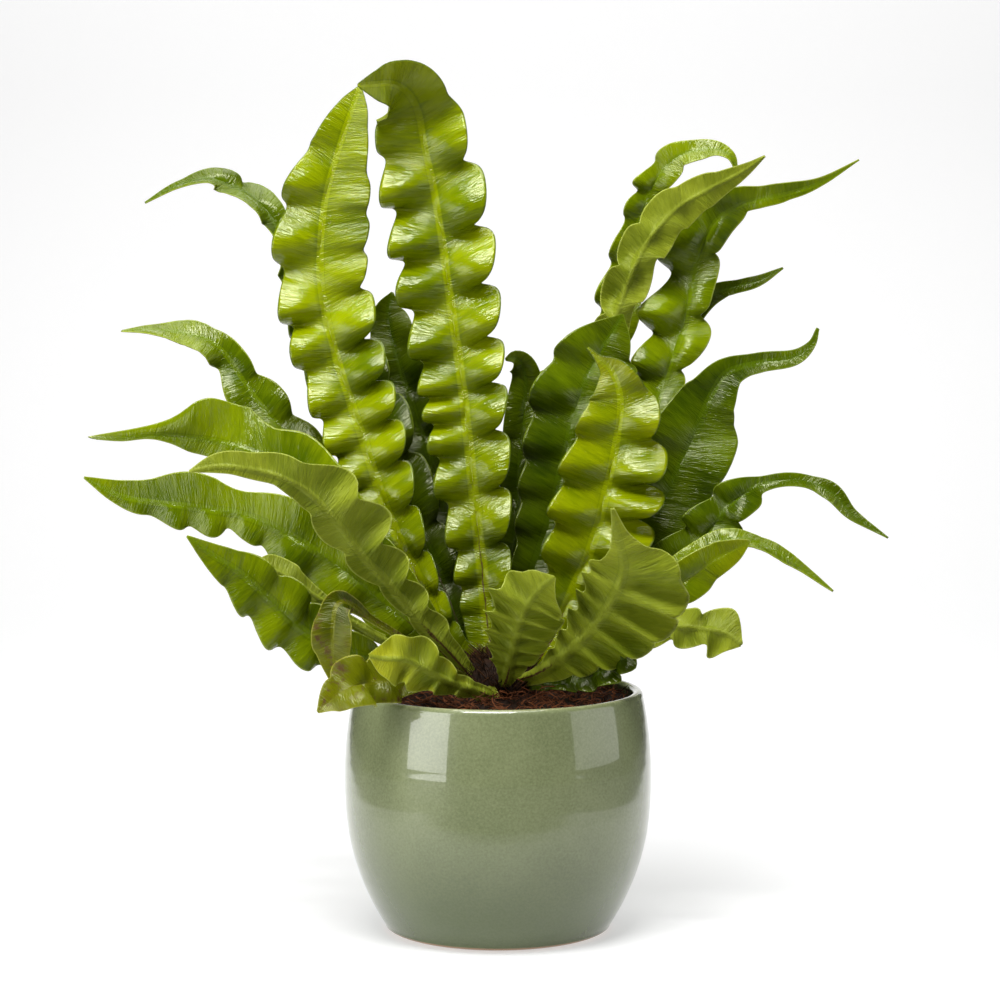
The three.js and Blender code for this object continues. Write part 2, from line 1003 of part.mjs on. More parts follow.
// Outside radius of the pot at a height.
function potRadius(z) {
  if (z < POT.bellyHeight) {
    const below = (POT.bellyHeight - z) / POT.bellyHeight;
    return POT.bellyRadius * (1 - POT.footTuck * below ** POT.footPower);
  }
  const above = (z - POT.bellyHeight) / POT.shoulderRise;
  return POT.bellyRadius - POT.shoulderDrop * above * above;
}

// Inside radius of the pot at a height.
function cavityRadius(z) {
  return Math.min(potRadius(z) - POT.wall, POT.mouthRadius + POT.flare * (POT.height - z));
}

function potGeometry() {
  const shoulder = POT.height - POT.lipRound;
  const footReach = potRadius(POT.footRound) - POT.footRadius;
  const lipReach = (potRadius(shoulder) - POT.mouthRadius) / 2;
  const foot = ellipseArc([POT.footRadius, POT.footRound], [footReach, POT.footRound], -90, -45, 2);
  const side = spread(POT.footRound, shoulder, 11).map((z) => [potRadius(z), z]);
  const lip = ellipseArc([POT.mouthRadius + lipReach, shoulder], [lipReach, POT.lipRound], 36, 144, 4);
  const inside = spread(shoulder - POT.lipRound, POT.floor + POT.floorRound, 5)
    .map((z) => [cavityRadius(z), z]);
  const floor = [[cavityRadius(POT.floor) - POT.floorRound, POT.floor], [0, POT.floor]];
  return turned([[0, 0], ...foot, ...side, ...lip, ...inside, ...floor], POT.sides);
}

// ---------------------------------------------------------------- growing medium and crown

// grow makes it larger all round, for the hole that it stands in.
function crownGeometry(grow = 0) {
  const dome = ellipseArc(
    [0, CROWN.waist],
    [CROWN.radius + grow, CROWN.top - CROWN.waist + grow],
    0,
    90,
    5,
  );
  return turned([
    [0, CROWN.bottom - grow],
    [CROWN.bottomRadius + grow, CROWN.bottom - grow],
    [CROWN.neckRadius + grow, CROWN.neck],
    ...dome,
  ], CROWN.sides);
}

// Height of the coir's lumps: two crossed ripples and a shorter slanted one.
function coirLump(x, y) {
  const ripple = (distance, length) => Math.sin((2 * Math.PI * distance) / length);
  const crossed = ripple(x, SOIL.lumpLength) * ripple(y, SOIL.lumpLength);
  const slanted = ripple(y - x / 2, SOIL.lumpLength / 2);
  return SOIL.lumpHeight * (crossed + slanted / 2);
}

function soilGeometry() {
  const floorHeight = POT.floor + GAP;
  const floor = [[0, floorHeight], [cavityRadius(POT.floor) - POT.floorRound - GAP, floorHeight]];
  const side = spread(POT.floor + POT.floorRound, SOIL.rimHeight, 5)
    .map((z) => [cavityRadius(z) - GAP, z]);
  const top = [...SOIL.rings, 0].map((radius) => {
    const share = radius / POT.mouthRadius;
    return [radius, SOIL.crownHeight - (SOIL.crownHeight - SOIL.rimHeight) * share * share];
  });
  const geometry = turned([...floor, ...side, ...top], POT.sides);
  const position = geometry.attributes.position;
  for (let i = 0; i < position.count; i += 1) {
    const [x, y, z] = [position.getX(i), position.getY(i), position.getZ(i)];
    if (z > SOIL.rimHeight + GAP) position.setZ(i, z + coirLump(x, y));
  }
  return geometry;
}

// ---------------------------------------------------------------- assembly

const plant = new THREE.Group();

function addPiece(name, geometry, colour, roughness) {
  const material = new THREE.MeshStandardMaterial({ color: colour, roughness, metalness: 0 });
  const mesh = new THREE.Mesh(geometry, material);
  mesh.name = name;
  plant.add(mesh);
}

let crown = toSolid(crownGeometry());
FRONDS.forEach((frond, seed) => {
  addPiece(frond.name, bladeGeometry(frond, seed), COLOURS[frond.look], 0.4);
  crown = crown.subtract(toSolid(bladeGeometry(frond, seed, GAP)));
});
const soil = toSolid(soilGeometry()).subtract(toSolid(crownGeometry(GAP)));

addPiece('pot', potGeometry(), COLOURS.glaze, 0.2);
addPiece('growing_medium', toGeometry(mainPiece(soil)), COLOURS.coir, 0.95);
addPiece('crown', toGeometry(mainPiece(crown)), COLOURS.crown, 0.9);

export default plant;
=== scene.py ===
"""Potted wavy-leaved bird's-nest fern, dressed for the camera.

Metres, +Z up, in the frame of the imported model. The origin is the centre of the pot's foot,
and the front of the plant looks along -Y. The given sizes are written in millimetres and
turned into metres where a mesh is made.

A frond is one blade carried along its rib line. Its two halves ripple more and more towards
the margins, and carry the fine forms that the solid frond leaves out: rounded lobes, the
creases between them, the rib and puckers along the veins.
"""

import logging
import math
from dataclasses import dataclass, field, replace
from enum import Enum

import bpy
import numpy as np
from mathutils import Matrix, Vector


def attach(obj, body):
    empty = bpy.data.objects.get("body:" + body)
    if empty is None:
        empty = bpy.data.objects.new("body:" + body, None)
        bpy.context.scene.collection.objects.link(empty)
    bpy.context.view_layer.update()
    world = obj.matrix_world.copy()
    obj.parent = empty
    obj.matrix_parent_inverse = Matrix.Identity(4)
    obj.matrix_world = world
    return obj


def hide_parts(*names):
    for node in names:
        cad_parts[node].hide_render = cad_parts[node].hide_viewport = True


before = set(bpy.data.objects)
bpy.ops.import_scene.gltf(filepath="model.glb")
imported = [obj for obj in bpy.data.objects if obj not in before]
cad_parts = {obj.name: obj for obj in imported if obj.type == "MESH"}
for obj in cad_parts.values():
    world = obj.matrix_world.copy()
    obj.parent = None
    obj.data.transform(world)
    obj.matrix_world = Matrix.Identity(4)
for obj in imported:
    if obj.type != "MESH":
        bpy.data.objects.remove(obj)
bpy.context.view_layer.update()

LOG = logging.getLogger("fern")
MM = 0.001
WHOLE_TURN = 2.0 * math.pi
BODY = "root"
# Radius at which a turned profile starts and ends, in millimetres.
NEAR_AXIS = 0.5

Colour = tuple[int, int, int]
Point = tuple[float, float, float]
Pair = tuple[float, float]
# From where a smooth rise goes, to where and how high.
Rise = tuple[float, float, float]
Socket = bpy.types.NodeSocket


# ---- sums shared by all pieces


def smooth_step(low: float, high: float, value: np.ndarray) -> np.ndarray:
    """Rises from 0 at low to 1 at high along the cubic 3u^2 - 2u^3."""
    u = np.clip((value - low) / (high - low), 0.0, 1.0)
    return u * u * (3.0 - 2.0 * u)


def unit(vectors: np.ndarray) -> np.ndarray:
    """The same directions along the last axis with length 1."""
    return vectors / np.maximum(np.linalg.norm(vectors, axis=-1, keepdims=True), 1e-12)


def drift(place: np.ndarray, seed: float) -> np.ndarray:
    """A smooth aimless curve between about -1 and 1: three sines whose lengths never meet.

    Args:
        place: Where to read it. One unit is about one swing.
        seed: Number that picks the curve.

    Returns:
        The height of the curve.
    """
    turns = WHOLE_TURN * np.asarray(place)
    slow = np.sin(0.61 * turns + 2.3 * seed)
    middle = np.sin(1.0 * turns + 4.1 * seed + 1.3)
    quick = np.sin(1.73 * turns + 5.9 * seed + 0.4)
    return (slow + middle + 0.7 * quick) / 2.4


def through_points(points: np.ndarray, samples: int) -> tuple[np.ndarray, float]:
    """Samples of the smooth curve through every given point, at even distances.

    Each span is the cubic whose slope at a point is half the step between its neighbours.
    The first three columns are the place, and the others follow it.

    Args:
        points: One row for each point.
        samples: How many samples to take.

    Returns:
        The samples and the length of the curve.
    """
    first = 2.0 * points[0] - points[1]
    last = 2.0 * points[-1] - points[-2]
    padded = np.vstack([first, points, last])
    spans = len(points) - 1
    place = np.linspace(0.0, spans, 60 * spans + 1)
    span = np.minimum(place.astype(int), spans - 1)
    u = (place - span)[:, None]
    a, b, c, d = (padded[span + k] for k in range(4))
    square = (2.0 * a - 5.0 * b + 4.0 * c - d) * u**2
    cube = (3.0 * b - a - 3.0 * c + d) * u**3
    curve = 0.5 * (2.0 * b + (c - a) * u + square + cube)
    steps = np.linalg.norm(np.diff(curve[:, :3], axis=0), axis=1)
    reached = np.concatenate([[0.0], np.cumsum(steps)])
    goals = np.linspace(0.0, reached[-1], samples)
    even = np.stack([np.interp(goals, reached, column) for column in curve.T], axis=1)
    return even, float(reached[-1])


def ellipse_arc(centre: Pair, radii: Pair, ends: Pair, count: int) -> np.ndarray:
    """Profile points on an upright ellipse.

    Args:
        centre: Radius and height of the ellipse's centre.
        radii: Its half width and half height.
        ends: First and last angle, in degrees.
        count: How many points to take.

    Returns:
        Rows of radius and height.
    """
    angle = np.radians(np.linspace(*ends, count))
    return np.array(centre) + np.array(radii) * np.stack([np.cos(angle), np.sin(angle)], axis=1)


def level_line(start: float, end: float, height: float, count: int) -> np.ndarray:
    """Profile points at one height, as rows of radius and height."""
    return np.stack([np.linspace(start, end, count), np.full(count, height)], axis=1)


# ---- meshes


def add_object(name: str, data: bpy.types.ID) -> bpy.types.Object:
    """Puts a mesh, a light or a camera into the scene.

    Args:
        name: Name of the object.
        data: What it holds.

    Returns:
        The new object, at the origin.
    """
    made = bpy.data.objects.new(name, data)
    bpy.context.scene.collection.objects.link(made)
    return made


@dataclass
class Skin:
    """A closed mesh in the making: points in metres, faces, and what its material reads."""

    points: np.ndarray  # one row for each vertex
    faces: np.ndarray  # four vertex numbers a face, or three
    wears: np.ndarray | None = None  # for each face, which of the piece's finishes it wears
    # Named values for each vertex, as rows of three numbers.
    marks: dict[str, np.ndarray] = field(default_factory=dict)

    def tint(self, values: np.ndarray) -> None:
        """Adds each vertex's place between the two colours of a FibreFinish."""
        self.marks["fibre_tint"] = np.stack([values, values, values], axis=-1)

    def outward(self) -> None:
        """Turns all faces round if the skin encloses a negative volume."""
        corners = self.points[self.faces]
        volume = 0.0
        for one in range(1, self.faces.shape[1] - 1):
            across = np.cross(corners[:, one] - corners[:, 0], corners[:, one + 1] - corners[:, 0])
            volume += np.einsum("ij,ij->", across, corners[:, 0])
        if volume < 0.0:
            self.faces = self.faces[:, ::-1]

    def make(self, name: str, finishes: list[bpy.types.Material], slot: str, node: str) -> None:
        """Puts the skin into the scene as a smooth-shaded piece that rides with the plant.

        Args:
            name: Name of the piece.
            finishes: Materials, in the order that wears counts them.
            slot: The record's material slot; not used.
            node: The solid that it stands for.
        """
        self.outward()
        mesh = bpy.data.meshes.new(name)
        mesh.vertices.add(len(self.points))
        mesh.vertices.foreach_set("co", self.points.astype(np.float32).ravel())
        mesh.loops.add(self.faces.size)
        mesh.loops.foreach_set("vertex_index", self.faces.astype(np.int32).ravel())
        mesh.polygons.add(len(self.faces))
        starts = np.arange(0, self.faces.size, self.faces.shape[1], dtype=np.int32)
        mesh.polygons.foreach_set("loop_start", starts)
        mesh.polygons.foreach_set("use_smooth", np.ones(len(self.faces), dtype=bool))
        for finish in finishes:
            mesh.materials.append(finish)
        if self.wears is not None:
            mesh.polygons.foreach_set("material_index", self.wears.astype(np.int32))
        for mark, values in self.marks.items():
            layer = mesh.attributes.new(mark, "FLOAT_VECTOR", "POINT")
            layer.data.foreach_set("vector", values.astype(np.float32).ravel())
        mesh.update(calc_edges=True)
        piece = add_object(name, mesh)
        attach(piece, BODY)
        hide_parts(node)
        LOG.info("%s: %d faces, for %s", name, len(self.faces), node)


def rings_to_faces(rows: int, around: int) -> np.ndarray:
    """Faces of a tube whose rows of around vertices are joined in turn, without its ends.

    Args:
        rows: How many rings there are.
        around: How many vertices each ring has.

    Returns:
        Four vertex numbers a face.
    """
    row, column = np.meshgrid(np.arange(rows - 1), np.arange(around), indexing="ij")
    here, beside = row * around + column, row * around + (column + 1) % around
    return np.stack([here, beside, beside + around, here + around], axis=-1).reshape(-1, 4)


def turned_skin(profile: np.ndarray, sides: int) -> Skin:
    """Surface turned about +Z from a profile whose two ends lie near the axis.

    A point is (r cos a, r sin a, z) for each profile point (r, z) and each angle a. The
    ends are closed by one vertex each on the axis.

    Args:
        profile: Rows of radius and height, in metres.
        sides: How many columns there are.

    Returns:
        The skin, in faces of three corners.
    """
    angle = np.linspace(0.0, WHOLE_TURN, sides, endpoint=False)
    radius, height = profile[:, :1], profile[:, 1:]
    x, y = radius * np.cos(angle), radius * np.sin(angle)
    points = np.stack([x, y, np.broadcast_to(height, x.shape)], axis=-1).reshape(-1, 3)
    poles = np.array([[0.0, 0.0, profile[0, 1]], [0.0, 0.0, profile[-1, 1]]])
    quads = rings_to_faces(len(profile), sides)
    column = np.arange(sides)
    beside = (column + 1) % sides
    top = (len(profile) - 1) * sides
    start_fan = np.stack([np.full(sides, len(points)), beside, column], axis=-1)
    end_fan = np.stack([np.full(sides, len(points) + 1), top + column, top + beside], axis=-1)
    faces = np.vstack([quads[:, [0, 1, 2]], quads[:, [0, 2, 3]], start_fan, end_fan])
    return Skin(np.vstack([points, poles]), faces)


# ---- finishes


def paint(colour: Colour) -> tuple[float, float, float, float]:
    """A screen colour of 0 to 255 as the linear light that a shader takes.

    Args:
        colour: Red, green and blue.

    Returns:
        Red, green, blue and an alpha of 1.
    """
    share = np.array(colour) / 255.0
    linear = np.where(share <= 0.04045, share / 12.92, ((share + 0.055) / 1.055) ** 2.4)
    return (*linear.tolist(), 1.0)


@dataclass(frozen=True)
class Grain:
    """A noise pattern."""

    scale: float  # swings for each unit of the place
    detail: float = 3.0  # how many finer swings are laid over it
    rough: float = 0.5  # how strong those are


class Graph:
    """A material's node tree, with a short method for each kind of node that is used.

    The methods take sockets and numbers alike, and give back the socket with the result.
    """

    def __init__(self, name: str) -> None:
        """Starts an empty material of that name."""
        self.material = bpy.data.materials.new(name)
        self.material.use_nodes = True
        self.tree = self.material.node_tree
        self.tree.nodes.clear()

    def node(self, kind: str, inputs: dict | None = None, **settings: object) -> bpy.types.Node:
        """Adds a node.

        Args:
            kind: Blender's name for the kind of node, without ShaderNode before it.
            inputs: Sockets by name or number, each with a value or a socket to link.
            settings: The node's own properties.

        Returns:
            The new node.
        """
        made = self.tree.nodes.new(f"ShaderNode{kind}")
        for key, value in settings.items():
            setattr(made, key, value)
        for key, value in (inputs or {}).items():
            if isinstance(value, Socket):
                self.tree.links.new(value, made.inputs[key])
            else:
                made.inputs[key].default_value = value
        return made

    def sum(self, operation: str, *values: object) -> Socket:
        """Result of a Math node, named as Blender names it."""
        return self.node("Math", dict(enumerate(values)), operation=operation).outputs[0]

    def plus(self, one: object, other: object) -> Socket:
        """Both values added."""
        return self.sum("ADD", one, other)

    def minus(self, one: object, other: object) -> Socket:
        """The first value less the other."""
        return self.sum("SUBTRACT", one, other)

    def times(self, one: object, other: object) -> Socket:
        """Both values multiplied."""
        return self.sum("MULTIPLY", one, other)

    def rise(self, value: object, low: float, high: float, top: float = 1.0) -> Socket:
        """A smooth rise from 0 to top while value goes from low to high."""
        inputs = {"Value": value, "From Min": low, "From Max": high, "To Max": top}
        return self.node("MapRange", inputs, interpolation_type="SMOOTHSTEP").outputs[0]

    def blend(self, share: object, one: object, other: object, way: str = "MIX") -> Socket:
        """Mixes two colours.

        Args:
            share: How much of the other colour there is.
            one: First colour, as a screen colour or a socket.
            other: Second colour.
            way: Blender's name for the way of mixing.

        Returns:
            The socket that holds the mixed colour.
        """
        one, other = (paint(each) if isinstance(each, tuple) else each for each in (one, other))
        inputs = {0: share, 6: one, 7: other}
        return self.node("Mix", inputs, data_type="RGBA", blend_type=way).outputs[2]

    def noise(self, place: Socket, grain: Grain) -> Socket:
        """Value of a noise pattern, from 0 to 1."""
        inputs = {"Vector": place, "Scale": grain.scale, "Detail": grain.detail, "Roughness": grain.rough}
        return self.node("TexNoise", inputs).outputs["Fac"]

    def object_place(self) -> Socket:
        """Place on the object, in metres."""
        return self.node("TexCoord").outputs["Object"]

    def mark(self, name: str) -> tuple[Socket, ...]:
        """The three numbers of the mesh's own values of that name."""
        values = self.node("Attribute", attribute_name=name, attribute_type="GEOMETRY")
        return self.parts(values.outputs["Vector"])

    def parts(self, vector: Socket) -> tuple[Socket, ...]:
        """The three numbers of a vector."""
        return tuple(self.node("SeparateXYZ", {0: vector}).outputs)

    def joined(self, x: object, y: object, z: object) -> Socket:
        """A vector from three numbers."""
        return self.node("CombineXYZ", {0: x, 1: y, 2: z}).outputs[0]

    def bump(self, height: object, strength: float, depth: float) -> Socket:
        """Normal of a surface whose relief, from 0 to 1, is depth metres deep."""
        inputs = {"Strength": strength, "Distance": depth, "Height": height}
        return self.node("Bump", inputs).outputs[0]

    def skin(self, inputs: dict) -> Socket:
        """The main shader, with its inputs by name."""
        return self.node("BsdfPrincipled", inputs).outputs[0]

    def close(self, shader: Socket) -> bpy.types.Material:
        """Links the last shader to the output and gives back the finished material."""
        self.node("OutputMaterial", {"Surface": shader})
        return self.material


@dataclass(frozen=True)
class LeafFinish:
    """Skin of one side of a blade.

    The colour goes from deep to fresh in streaks along the veins. The veins leave the rib
    and slant towards the tip. The rib with painted shade along its flanks, the margin and the worn
    places are painted over it by the blade's own marks, and painted shade darkens it near the crown.
    """

    name: str  # name of the material
    deep: Colour  # darkest streaks
    fresh: Colour  # lightest streaks
    rib: Colour  # the rib
    margin: Colour  # thin line along the margin
    old: Colour  # where the blade turns yellow
    glow: Colour  # light that comes through the blade
    roughness: float  # mean roughness
    wax: float  # weight of the clear waxy layer
    relief: float  # depth of the veins, in metres
    through: float  # share of the light that comes through
    shade: float  # how much painted shade darkens the colour near the crown, from 0 to 1

    # Colours that all blades share: brown patches, the painted shade at the crown, the tint of a shine.
    worn = (88, 58, 30)
    crown_shade = (70, 84, 40)
    sheen = (255, 255, 205)
    # Patterns on the blade, in millimetres: how far the veins slant for each one from the rib,
    # how little they change on the way, and how far apart the two halves read them.
    slant = 0.2
    stretch = 0.12
    apart = 9.0
    swells = Grain(0.2, 2.0, 0.55)
    streaks = Grain(0.62, 3.0, 0.6)
    veins = Grain(1.9, 2.0)
    patches = Grain(0.28, 4.0, 0.65)
    clouds = Grain(26.0)
    # Rises of the painting: from where, to where and how high.
    tones = (0.4, 0.86)
    vein_lines = (0.62, 0.36, 0.12)
    rib_foot = (0.0, 0.1)
    rib_flank_shade = (0.4, 0.1, 0.4)
    rib_top = (0.06, 0.7, 0.85)
    margin_line = (0.7, 0.25, 0.8)
    worn_edge = (0.98, 1.22)
    # The middle of the crown, and from where to where the painted shade round it deepens, in metres.
    heart = (0.0, 0.055, 0.12)
    heart_reach = (0.19, 0.06)
    crown_shade_depth = 0.75
    # How much the light through the blade keeps of the pure glow, how shiny the skin is, and
    # how rough the wax, the clouds and the brown patches make it.
    glow_share = 0.35
    shine = 0.27
    wax_roughness = 0.08
    rough_change = 0.12
    rough_worn = 0.3
    # Streaks and clouds in the tone; swells, crinkles and veins in the relief.
    tone_mix = (0.4, 0.9)
    relief_mix = (1.9, -1.5, 0.5)
    # How much shorter the brown patches are along the blade.
    patch_squeeze = 1.6

    def make(self) -> bpy.types.Material:
        """Builds the material.

        Returns:
            The finished material.
        """
        g = Graph(self.name)
        x, y, inset = g.mark("blade_place")
        ribness, yellowing, browning = g.mark("blade_marks")
        away, side = g.sum("ABSOLUTE", x), g.sum("SIGN", x)
        along = g.minus(y, g.times(away, self.slant))
        vein_place = g.joined(along, g.times(away, self.stretch), g.times(side, self.apart))
        streaks, veins = g.noise(vein_place, self.streaks), g.noise(vein_place, self.veins)
        clouds = g.noise(g.object_place(), self.clouds)
        tone = g.plus(g.times(streaks, self.tone_mix[0]), g.times(clouds, self.tone_mix[1]))
        colour = g.blend(g.rise(tone, *self.tones), self.deep, self.fresh)
        colour = g.blend(g.rise(veins, *self.vein_lines), colour, self.deep)
        colour = g.blend(yellowing, colour, self.old)
        # Painted shade in the hollows along both flanks of the raised rib.
        rib_shade = g.times(g.rise(ribness, *self.rib_foot), g.rise(ribness, *self.rib_flank_shade))
        colour = g.blend(rib_shade, colour, self.deep)
        colour = g.blend(g.rise(ribness, *self.rib_top), colour, self.rib)
        colour = g.blend(g.rise(inset, *self.margin_line), colour, self.margin)
        patches = g.noise(g.joined(g.times(along, self.patch_squeeze), away, side), self.patches)
        worn = g.rise(g.plus(browning, patches), *self.worn_edge)
        colour = g.blend(worn, colour, self.worn)
        # Painted shade: the colour darkens towards the middle of the crown.
        heart = g.node("VectorMath", {0: g.object_place(), 1: self.heart}, operation="DISTANCE")
        near = g.rise(heart.outputs["Value"], *self.heart_reach, self.shade)
        shaded_colour = g.blend(self.crown_shade_depth, colour, self.crown_shade, "MULTIPLY")
        colour = g.blend(near, colour, shaded_colour)
        crinkle = g.sum("ABSOLUTE", g.minus(streaks, 0.5))
        swell, crease, line = self.relief_mix
        swells = g.times(g.noise(vein_place, self.swells), swell)
        height = g.plus(g.plus(swells, g.times(crinkle, crease)), g.times(veins, line))
        normal = g.bump(height, 1.0, self.relief)
        rough = g.plus(g.times(g.minus(clouds, 0.5), self.rough_change), self.roughness)
        skin = g.skin({
            "Base Color": colour,
            "Roughness": g.plus(rough, g.times(worn, self.rough_worn)),
            "Normal": normal,
            "Specular IOR Level": self.shine,
            "Specular Tint": paint(self.sheen),
            "Coat Weight": self.wax,
            "Coat Roughness": self.wax_roughness,
            "Coat Normal": normal,
        })
        lit = g.blend(self.glow_share, g.blend(1.0, colour, self.glow, "MULTIPLY"), self.glow)
        glow = g.node("BsdfTranslucent", {"Color": lit, "Normal": normal}).outputs[0]
        return g.close(g.node("MixShader", {0: self.through, 1: skin, 2: glow}).outputs[0])


@dataclass(frozen=True)
class GlazeFinish:
    """Sage-green glaze: fine mottling, thinner and paler on the lip, bare clay at the foot."""

    deep: Colour = (108, 117, 80)  # where the glaze is thick
    low: Colour = (54, 68, 22)  # painted shade near the foot, below the belly
    pale: Colour = (136, 144, 104)  # where it is thin
    lip: Colour = (176, 176, 134)  # on the edge of the lip
    clay: Colour = (150, 118, 84)  # bare ring at the foot
    clouds: Grain = Grain(30.0)  # wide changes of the tone
    flecks: Grain = Grain(1500.0, 2.0, 0.6)  # fine specks
    drops: Grain = Grain(800.0, 3.0, 0.6)  # mottling between both
    # Heights between which painted shade darkens the glaze towards the foot, and how much.
    foot_shade_band: Rise = (0.085, 0.012, 0.75)
    lip_band: Rise = (0.125, 0.1262, 0.6)  # heights between which it thins on the lip, and how much
    clay_band: Pair = (0.0026, 0.0018)  # heights between which it ends above the foot
    tone_mix: Pair = (0.34, 0.6)  # how much the clouds and the drops change the tone
    tones: Pair = (0.22, 0.72)  # tones between which it goes from deep to pale
    pale_flecks: Rise = (0.58, 0.74, 0.4)  # where the flecks are pale, and how much
    deep_flecks: Rise = (0.42, 0.28, 0.4)  # where they are deep, and how much
    roughness: Pair = (0.26, 0.5)  # roughness of the glaze, and what the bare clay adds
    shine: float = 0.3  # strength of the body's own shine
    gloss: float = 0.03  # roughness of the glass on top
    wander: float = 0.0014  # how far those lines stray, in metres
    relief: float = 0.0008  # depth of its ripples, in metres

    def make(self) -> bpy.types.Material:
        """Builds the material.

        Returns:
            The finished material.
        """
        g = Graph("sage_glaze")
        place = g.object_place()
        height = g.parts(place)[2]
        grains = (self.clouds, self.flecks, self.drops)
        clouds, flecks, drops = (g.noise(place, grain) for grain in grains)
        tone = g.plus(g.times(clouds, self.tone_mix[0]), g.times(drops, self.tone_mix[1]))
        colour = g.blend(g.rise(tone, *self.tones), self.deep, self.pale)
        colour = g.blend(g.rise(flecks, *self.pale_flecks), colour, self.pale)
        colour = g.blend(g.rise(flecks, *self.deep_flecks), colour, self.deep)
        # Painted shade: the glaze darkens towards the foot.
        colour = g.blend(g.rise(height, *self.foot_shade_band), colour, self.low)
        wander = g.times(g.minus(drops, 0.5), self.wander)
        colour = g.blend(g.rise(g.plus(height, wander), *self.lip_band), colour, self.lip)
        bare = g.rise(g.plus(height, g.times(wander, 0.3)), *self.clay_band)
        colour = g.blend(bare, colour, self.clay)
        return g.close(g.skin({
            "Base Color": colour,
            "Roughness": g.plus(self.roughness[0], g.times(bare, self.roughness[1])),
            "Normal": g.bump(g.plus(clouds, g.times(drops, 0.25)), 0.35, self.relief),
            "Specular IOR Level": self.shine,
            "Coat Weight": 1.0,
            "Coat Roughness": self.gloss,
        }))


@dataclass(frozen=True)
class FibreFinish:
    """Dry plant fibre whose colour changes from piece to piece and from place to place."""

    name: str  # name of the material
    dark: Colour  # darkest fibres
    light: Colour  # lightest fibres
    grain: Grain = Grain(420.0, 3.0, 0.6)  # how the colour changes along a fibre
    relief: float = 0.0006  # depth of its grain, in metres
    tone_mix: Pair = (0.75, 0.5)  # how much the fibre's own tint and the grain change the tone
    tones: Pair = (0.15, 1.05)  # tones between which it goes from dark to light
    roughness: float = 0.75  # its roughness
    shine: float = 0.15  # strength of its shine

    def make(self) -> bpy.types.Material:
        """Builds the material.

        Returns:
            The finished material.
        """
        g = Graph(self.name)
        grain = g.noise(g.object_place(), self.grain)
        tint = g.times(g.mark("fibre_tint")[0], self.tone_mix[0])
        tone = g.plus(tint, g.times(grain, self.tone_mix[1]))
        return g.close(g.skin({
            "Base Color": g.blend(g.rise(tone, *self.tones), self.dark, self.light),
            "Roughness": self.roughness,
            "Specular IOR Level": self.shine,
            "Normal": g.bump(grain, 0.6, self.relief),
        }))


class Look(Enum):
    """The record's slot of a frond's finish, by the colour that shows most."""

    BRIGHT = "leaf_bright"
    GREEN = "leaf_green"
    DARK = "leaf_dark"
    PALE = "leaf_pale"
    YELLOW = "leaf_yellow"


UPPER_FINISHES = {
    Look.BRIGHT: LeafFinish(
        "bright_upper", (90, 110, 0), (148, 162, 0), (148, 162, 0), (84, 104, 10),
        (186, 178, 10), (186, 205, 0), 0.12, 0.42, 0.0005, 0.13, 0.3,
    ),
    Look.GREEN: LeafFinish(
        "green_upper", (70, 92, 0), (124, 142, 2), (104, 126, 4), (150, 164, 50),
        (176, 170, 16), (160, 192, 0), 0.15, 0.28, 0.0005, 0.12, 0.5,
    ),
    # Its colours are darker than these fronds' own deep green: partly their own colour, partly painted
    # shade for fronds deep inside the plant.
    Look.DARK: LeafFinish(
        "dark_upper", (46, 66, 0), (92, 112, 2), (78, 100, 4), (116, 134, 34),
        (166, 160, 16), (140, 176, 0), 0.18, 0.18, 0.0005, 0.1, 0.85,
    ),
    Look.PALE: LeafFinish(
        "pale_upper", (78, 102, 0), (126, 144, 4), (128, 144, 16), (160, 172, 60),
        (196, 188, 20), (160, 192, 0), 0.15, 0.28, 0.0005, 0.14, 0.2,
    ),
    Look.YELLOW: LeafFinish(
        "yellow_upper", (66, 78, 0), (116, 124, 8), (118, 122, 16), (168, 168, 60),
        (176, 162, 20), (160, 175, 4), 0.2, 0.08, 0.0006, 0.14, 0.7,
    ),
}

LOWER_FINISH = LeafFinish(
    "lower", (104, 120, 16), (150, 162, 42), (136, 148, 38), (172, 182, 76),
    (180, 180, 24), (160, 186, 4), 0.4, 0.0, 0.0009, 0.14, 0.0,
)


# ---- fronds


class Facing(Enum):
    """Where a frond's upper face looks before it is turned about its rib."""

    FRONT = (0.0, -1.0, 0.0)
    UP = (0.0, 0.0, 1.0)


@dataclass(frozen=True)
class Even:
    """Lobes that follow one another at nearly even distances."""

    waves: int  # how many there are from the stalk to the tip
    height: float  # their height as a share of the half width


